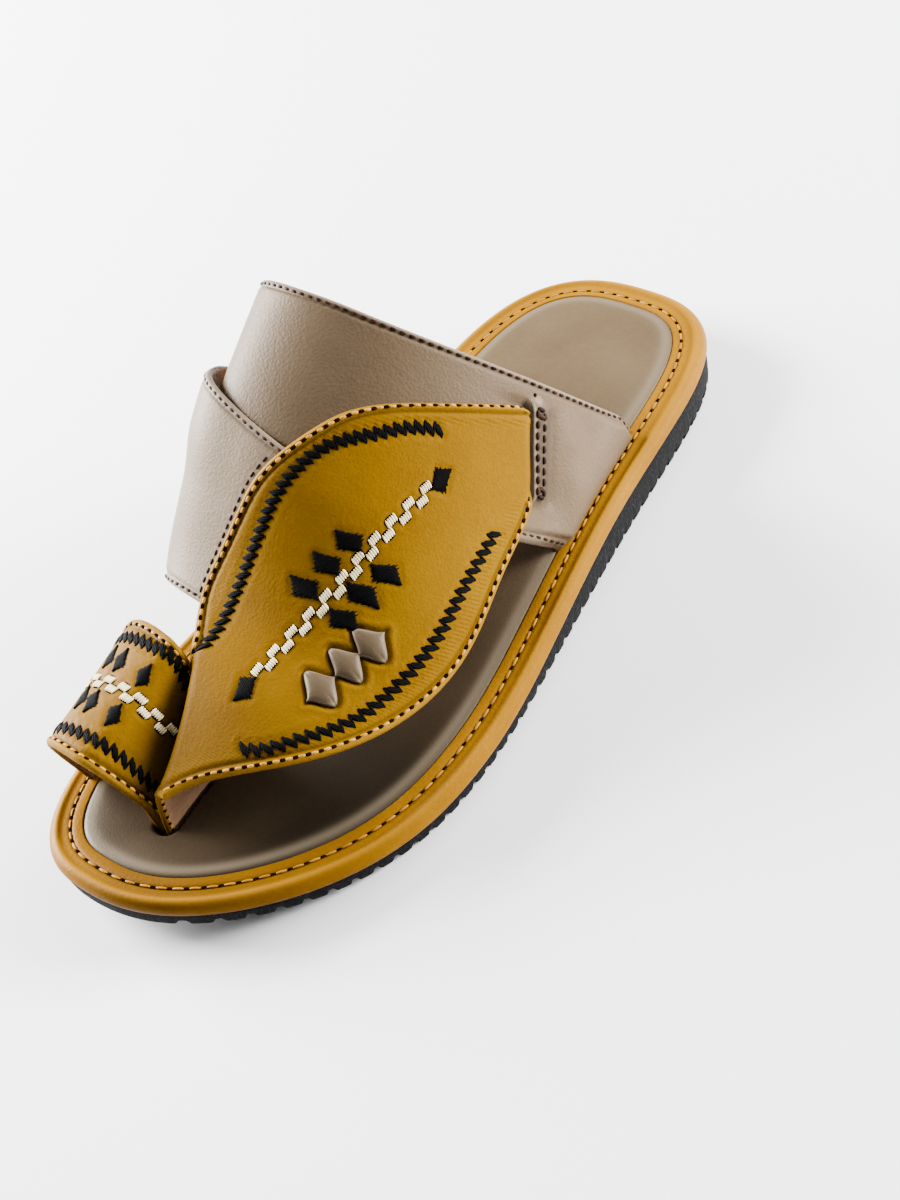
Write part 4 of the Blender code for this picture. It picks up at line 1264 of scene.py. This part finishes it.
def punched_hole():
    """Short dark stroke at the hole past the slit's end: the hole's painted shadow."""
    where = np.array([SLIT_HOLE])
    first, _, normal = slopes(rear_strap_skin, where)
    middle = rear_strap_skin(*where.T)
    return middle - 0.7 * unit(first), middle + 0.7 * unit(first), normal, middle


def rand_seam():
    """Line of the rand's stitches round the flange, closed, with its normals straight up."""
    near, far = (outline(inset, RING_POINTS) for inset in RAND_SEAM_INSET)
    share = ease(outline(0.0, RING_POINTS)[:, 1], 0.0, LENGTH / 2)[:, None]
    flat = near + (far - near) * share
    line = np.c_[flat, flange_top(flat[:, 1]) - 0.25]
    line = np.concatenate([line, line[:1]])
    return line, np.tile((0.0, 0.0, 1.0), (len(line), 1))


def floor_and_light():
    """Pale floor, a soft box on either side, one above and an even white surround."""
    mesh = bpy.data.meshes.new("floor")
    corners = [(x * FLOOR_HALF, y * FLOOR_HALF, 0) for x, y in ((-1, -1), (1, -1), (1, 1), (-1, 1))]
    mesh.from_pydata(corners, [], [(0, 1, 2, 3)])
    paper, _, _ = new_material("matt_white_paper", {"Roughness": 0.9, "Base Color": linear("#f4f4f4")})
    mesh.materials.append(paper)
    floor = bpy.data.objects.new("floor", mesh)
    bpy.context.scene.collection.objects.link(floor)
    for name, spot, width, power in SOFT_BOXES:
        light = bpy.data.lights.new(name, "AREA")
        light.shape = "SQUARE"
        light.size = width
        light.energy = power
        lamp = bpy.data.objects.new(name, light)
        lamp.matrix_world = Matrix.Translation(spot) @ facing(np.array(LIGHT_AIM) - spot).to_4x4()
        bpy.context.scene.collection.objects.link(lamp)
    world = bpy.data.worlds.new("white_surround")
    world.use_nodes = True
    surround = world.node_tree.nodes["Background"].inputs
    surround["Color"].default_value = (1.0, 1.0, 1.0, 1.0)
    surround["Strength"].default_value = SURROUND
    bpy.context.scene.world = world


def facing(direction):
    """Rotation that points an object's -Z along a direction."""
    back = -unit(np.asarray(direction, float))
    side = unit(np.cross((0.0, 1.0, 0.0), back))
    return Matrix(np.stack([side, np.cross(back, side), back], 1).tolist())


def add_camera():
    """Camera at the photograph's place, looking along its fitted axes."""
    lens = bpy.data.cameras.new("photo_camera")
    lens.sensor_width = 36.0
    lens.lens = CAMERA_LENS
    camera = bpy.data.objects.new("photo_camera", lens)
    axes = np.stack([CAMERA_RIGHT, CAMERA_UP, -np.array(CAMERA_FORWARD)], 1)
    camera.matrix_world = Matrix.Translation(CAMERA_PLACE) @ Matrix(axes.tolist()).to_4x4()
    bpy.context.scene.collection.objects.link(camera)
    bpy.context.scene.camera = camera


def add_needlework(on_vamp, on_loop, thread):
    """Threads of the needlework, both panels' in one piece of each kind."""
    for name, kind, size, finish, droop in NEEDLEWORK:
        add_threads(name, on_vamp[kind] + on_loop[kind], *size, thread[finish], "vamp", droop)


def add_stitching(thread, vamp, loop, straps, slit_rows):
    """Stitches along every seam, with a needle hole's painted shadow in each gap of the tan and ochre ones.
    """
    edge, strap = (EDGE_PITCH, EDGE_STITCH), (STRAP_PITCH, STRAP_STITCH)
    vamp_outer, vamp_inner, station = vamp
    rear_outer, side_outer = straps
    rand, rand_holes = stitches(*rand_seam(), RAND_PITCH, RAND_STITCH)
    tan, tan_holes = zip(
        stitches(*seam(vamp_outer, 0, EDGE_SEAM, station < 43.0), *edge, (3.0, 1.0)),
        stitches(*seam(vamp_outer, 1, EDGE_SEAM, station > -54.0), *edge, (1.0, 3.0)),
        stitches(*seam(loop, 2, EDGE_SEAM), *edge, (6.0, 6.0)),
        stitches(*seam(loop, 3, EDGE_SEAM), *edge, (6.0, 6.0)),
        stitches(*seam(vamp_inner, 2, 2.0), 2.4, 1.6, (4.0, 4.0)),
    )
    brown = [
        stitches(*seam(rear_outer, 3, BACK_SEAM), *strap, (4.0, 4.0))[0],
        stitches(*seam(rear_outer, 2, FRONT_SEAM), *strap, (4.0, 4.0))[0],
        stitches(*seam(side_outer, 3, BACK_SEAM), *strap, (2.0, 4.0))[0],
        stitches(*seam(side_outer, 2, BACK_SEAM), *strap, (2.0, 4.0))[0],
        stitches(*hem_beside_vamp(), *strap)[0],
    ]
    heavy = [stitches(*row, SLIT_PITCH, SLIT_STITCH)[0] for row in slit_rows] + [bar_tacks(slit_rows)]
    hole = "needle_hole_shadow"
    sewn = (
        ("rand_stitches", [rand], "ochre_waxed_thread", "rand"),
        ("rand_stitch_holes", [rand_holes], hole, "rand"),
        ("tan_stitches", tan, "tan_waxed_thread", "vamp"),
        ("tan_stitch_holes", tan_holes, hole, "vamp"),
        ("brown_stitches", brown, "brown_waxed_thread", "straps"),
        ("slit_stitches", heavy, "brown_waxed_thread", "straps"),
        ("slit_hole", [punched_hole()], hole, "straps"),
    )
    for name, strokes, finish, slot in sewn:
        droop = 0.0 if finish == hole else THREAD_DROOP
        add_threads(name, strokes, *SEWING[name], thread[finish], slot, droop)


def main():
    """Builds every piece, then the floor, the light and the camera."""
    leather = {name: dressed_leather(name, *look) for name, look in LEATHERS.items()}
    thread = {name: sewing_thread(name, *look) for name, look in THREADS.items()}
    lining = split_lining("pigskin_lining")
    mustard, taupe = [leather["mustard_calf_leather"], lining], [leather["taupe_pearl_leather"], lining]

    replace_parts(outsole_piece(crumb_foam("buffed_eva_foam")), "outsole")
    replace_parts(rand_piece(leather["burnished_rand_leather"]), "rand")
    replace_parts(insole_piece(leather["taupe_footbed_leather"]), "insole")

    on_vamp, on_loop = needlework()
    rims = np.concatenate([puff_rim(spot) for spot in puff_spots()])
    rear_outer, slit_rows = rear_strap_piece(taupe)
    side_outer = side_strap_piece(taupe)
    vamp = vamp_piece(drawn_down(on_vamp), rims, mustard)
    loop_outer = loop_piece(drawn_down(on_loop), mustard)
    for number, spot in enumerate(puff_spots(), 1):
        puff_piece(number, spot, leather["taupe_puff_leather"])
    add_needlework(on_vamp, on_loop, thread)
    add_stitching(thread, vamp, loop_outer, (rear_outer, side_outer), slit_rows)
    floor_and_light()
    add_camera()


main()
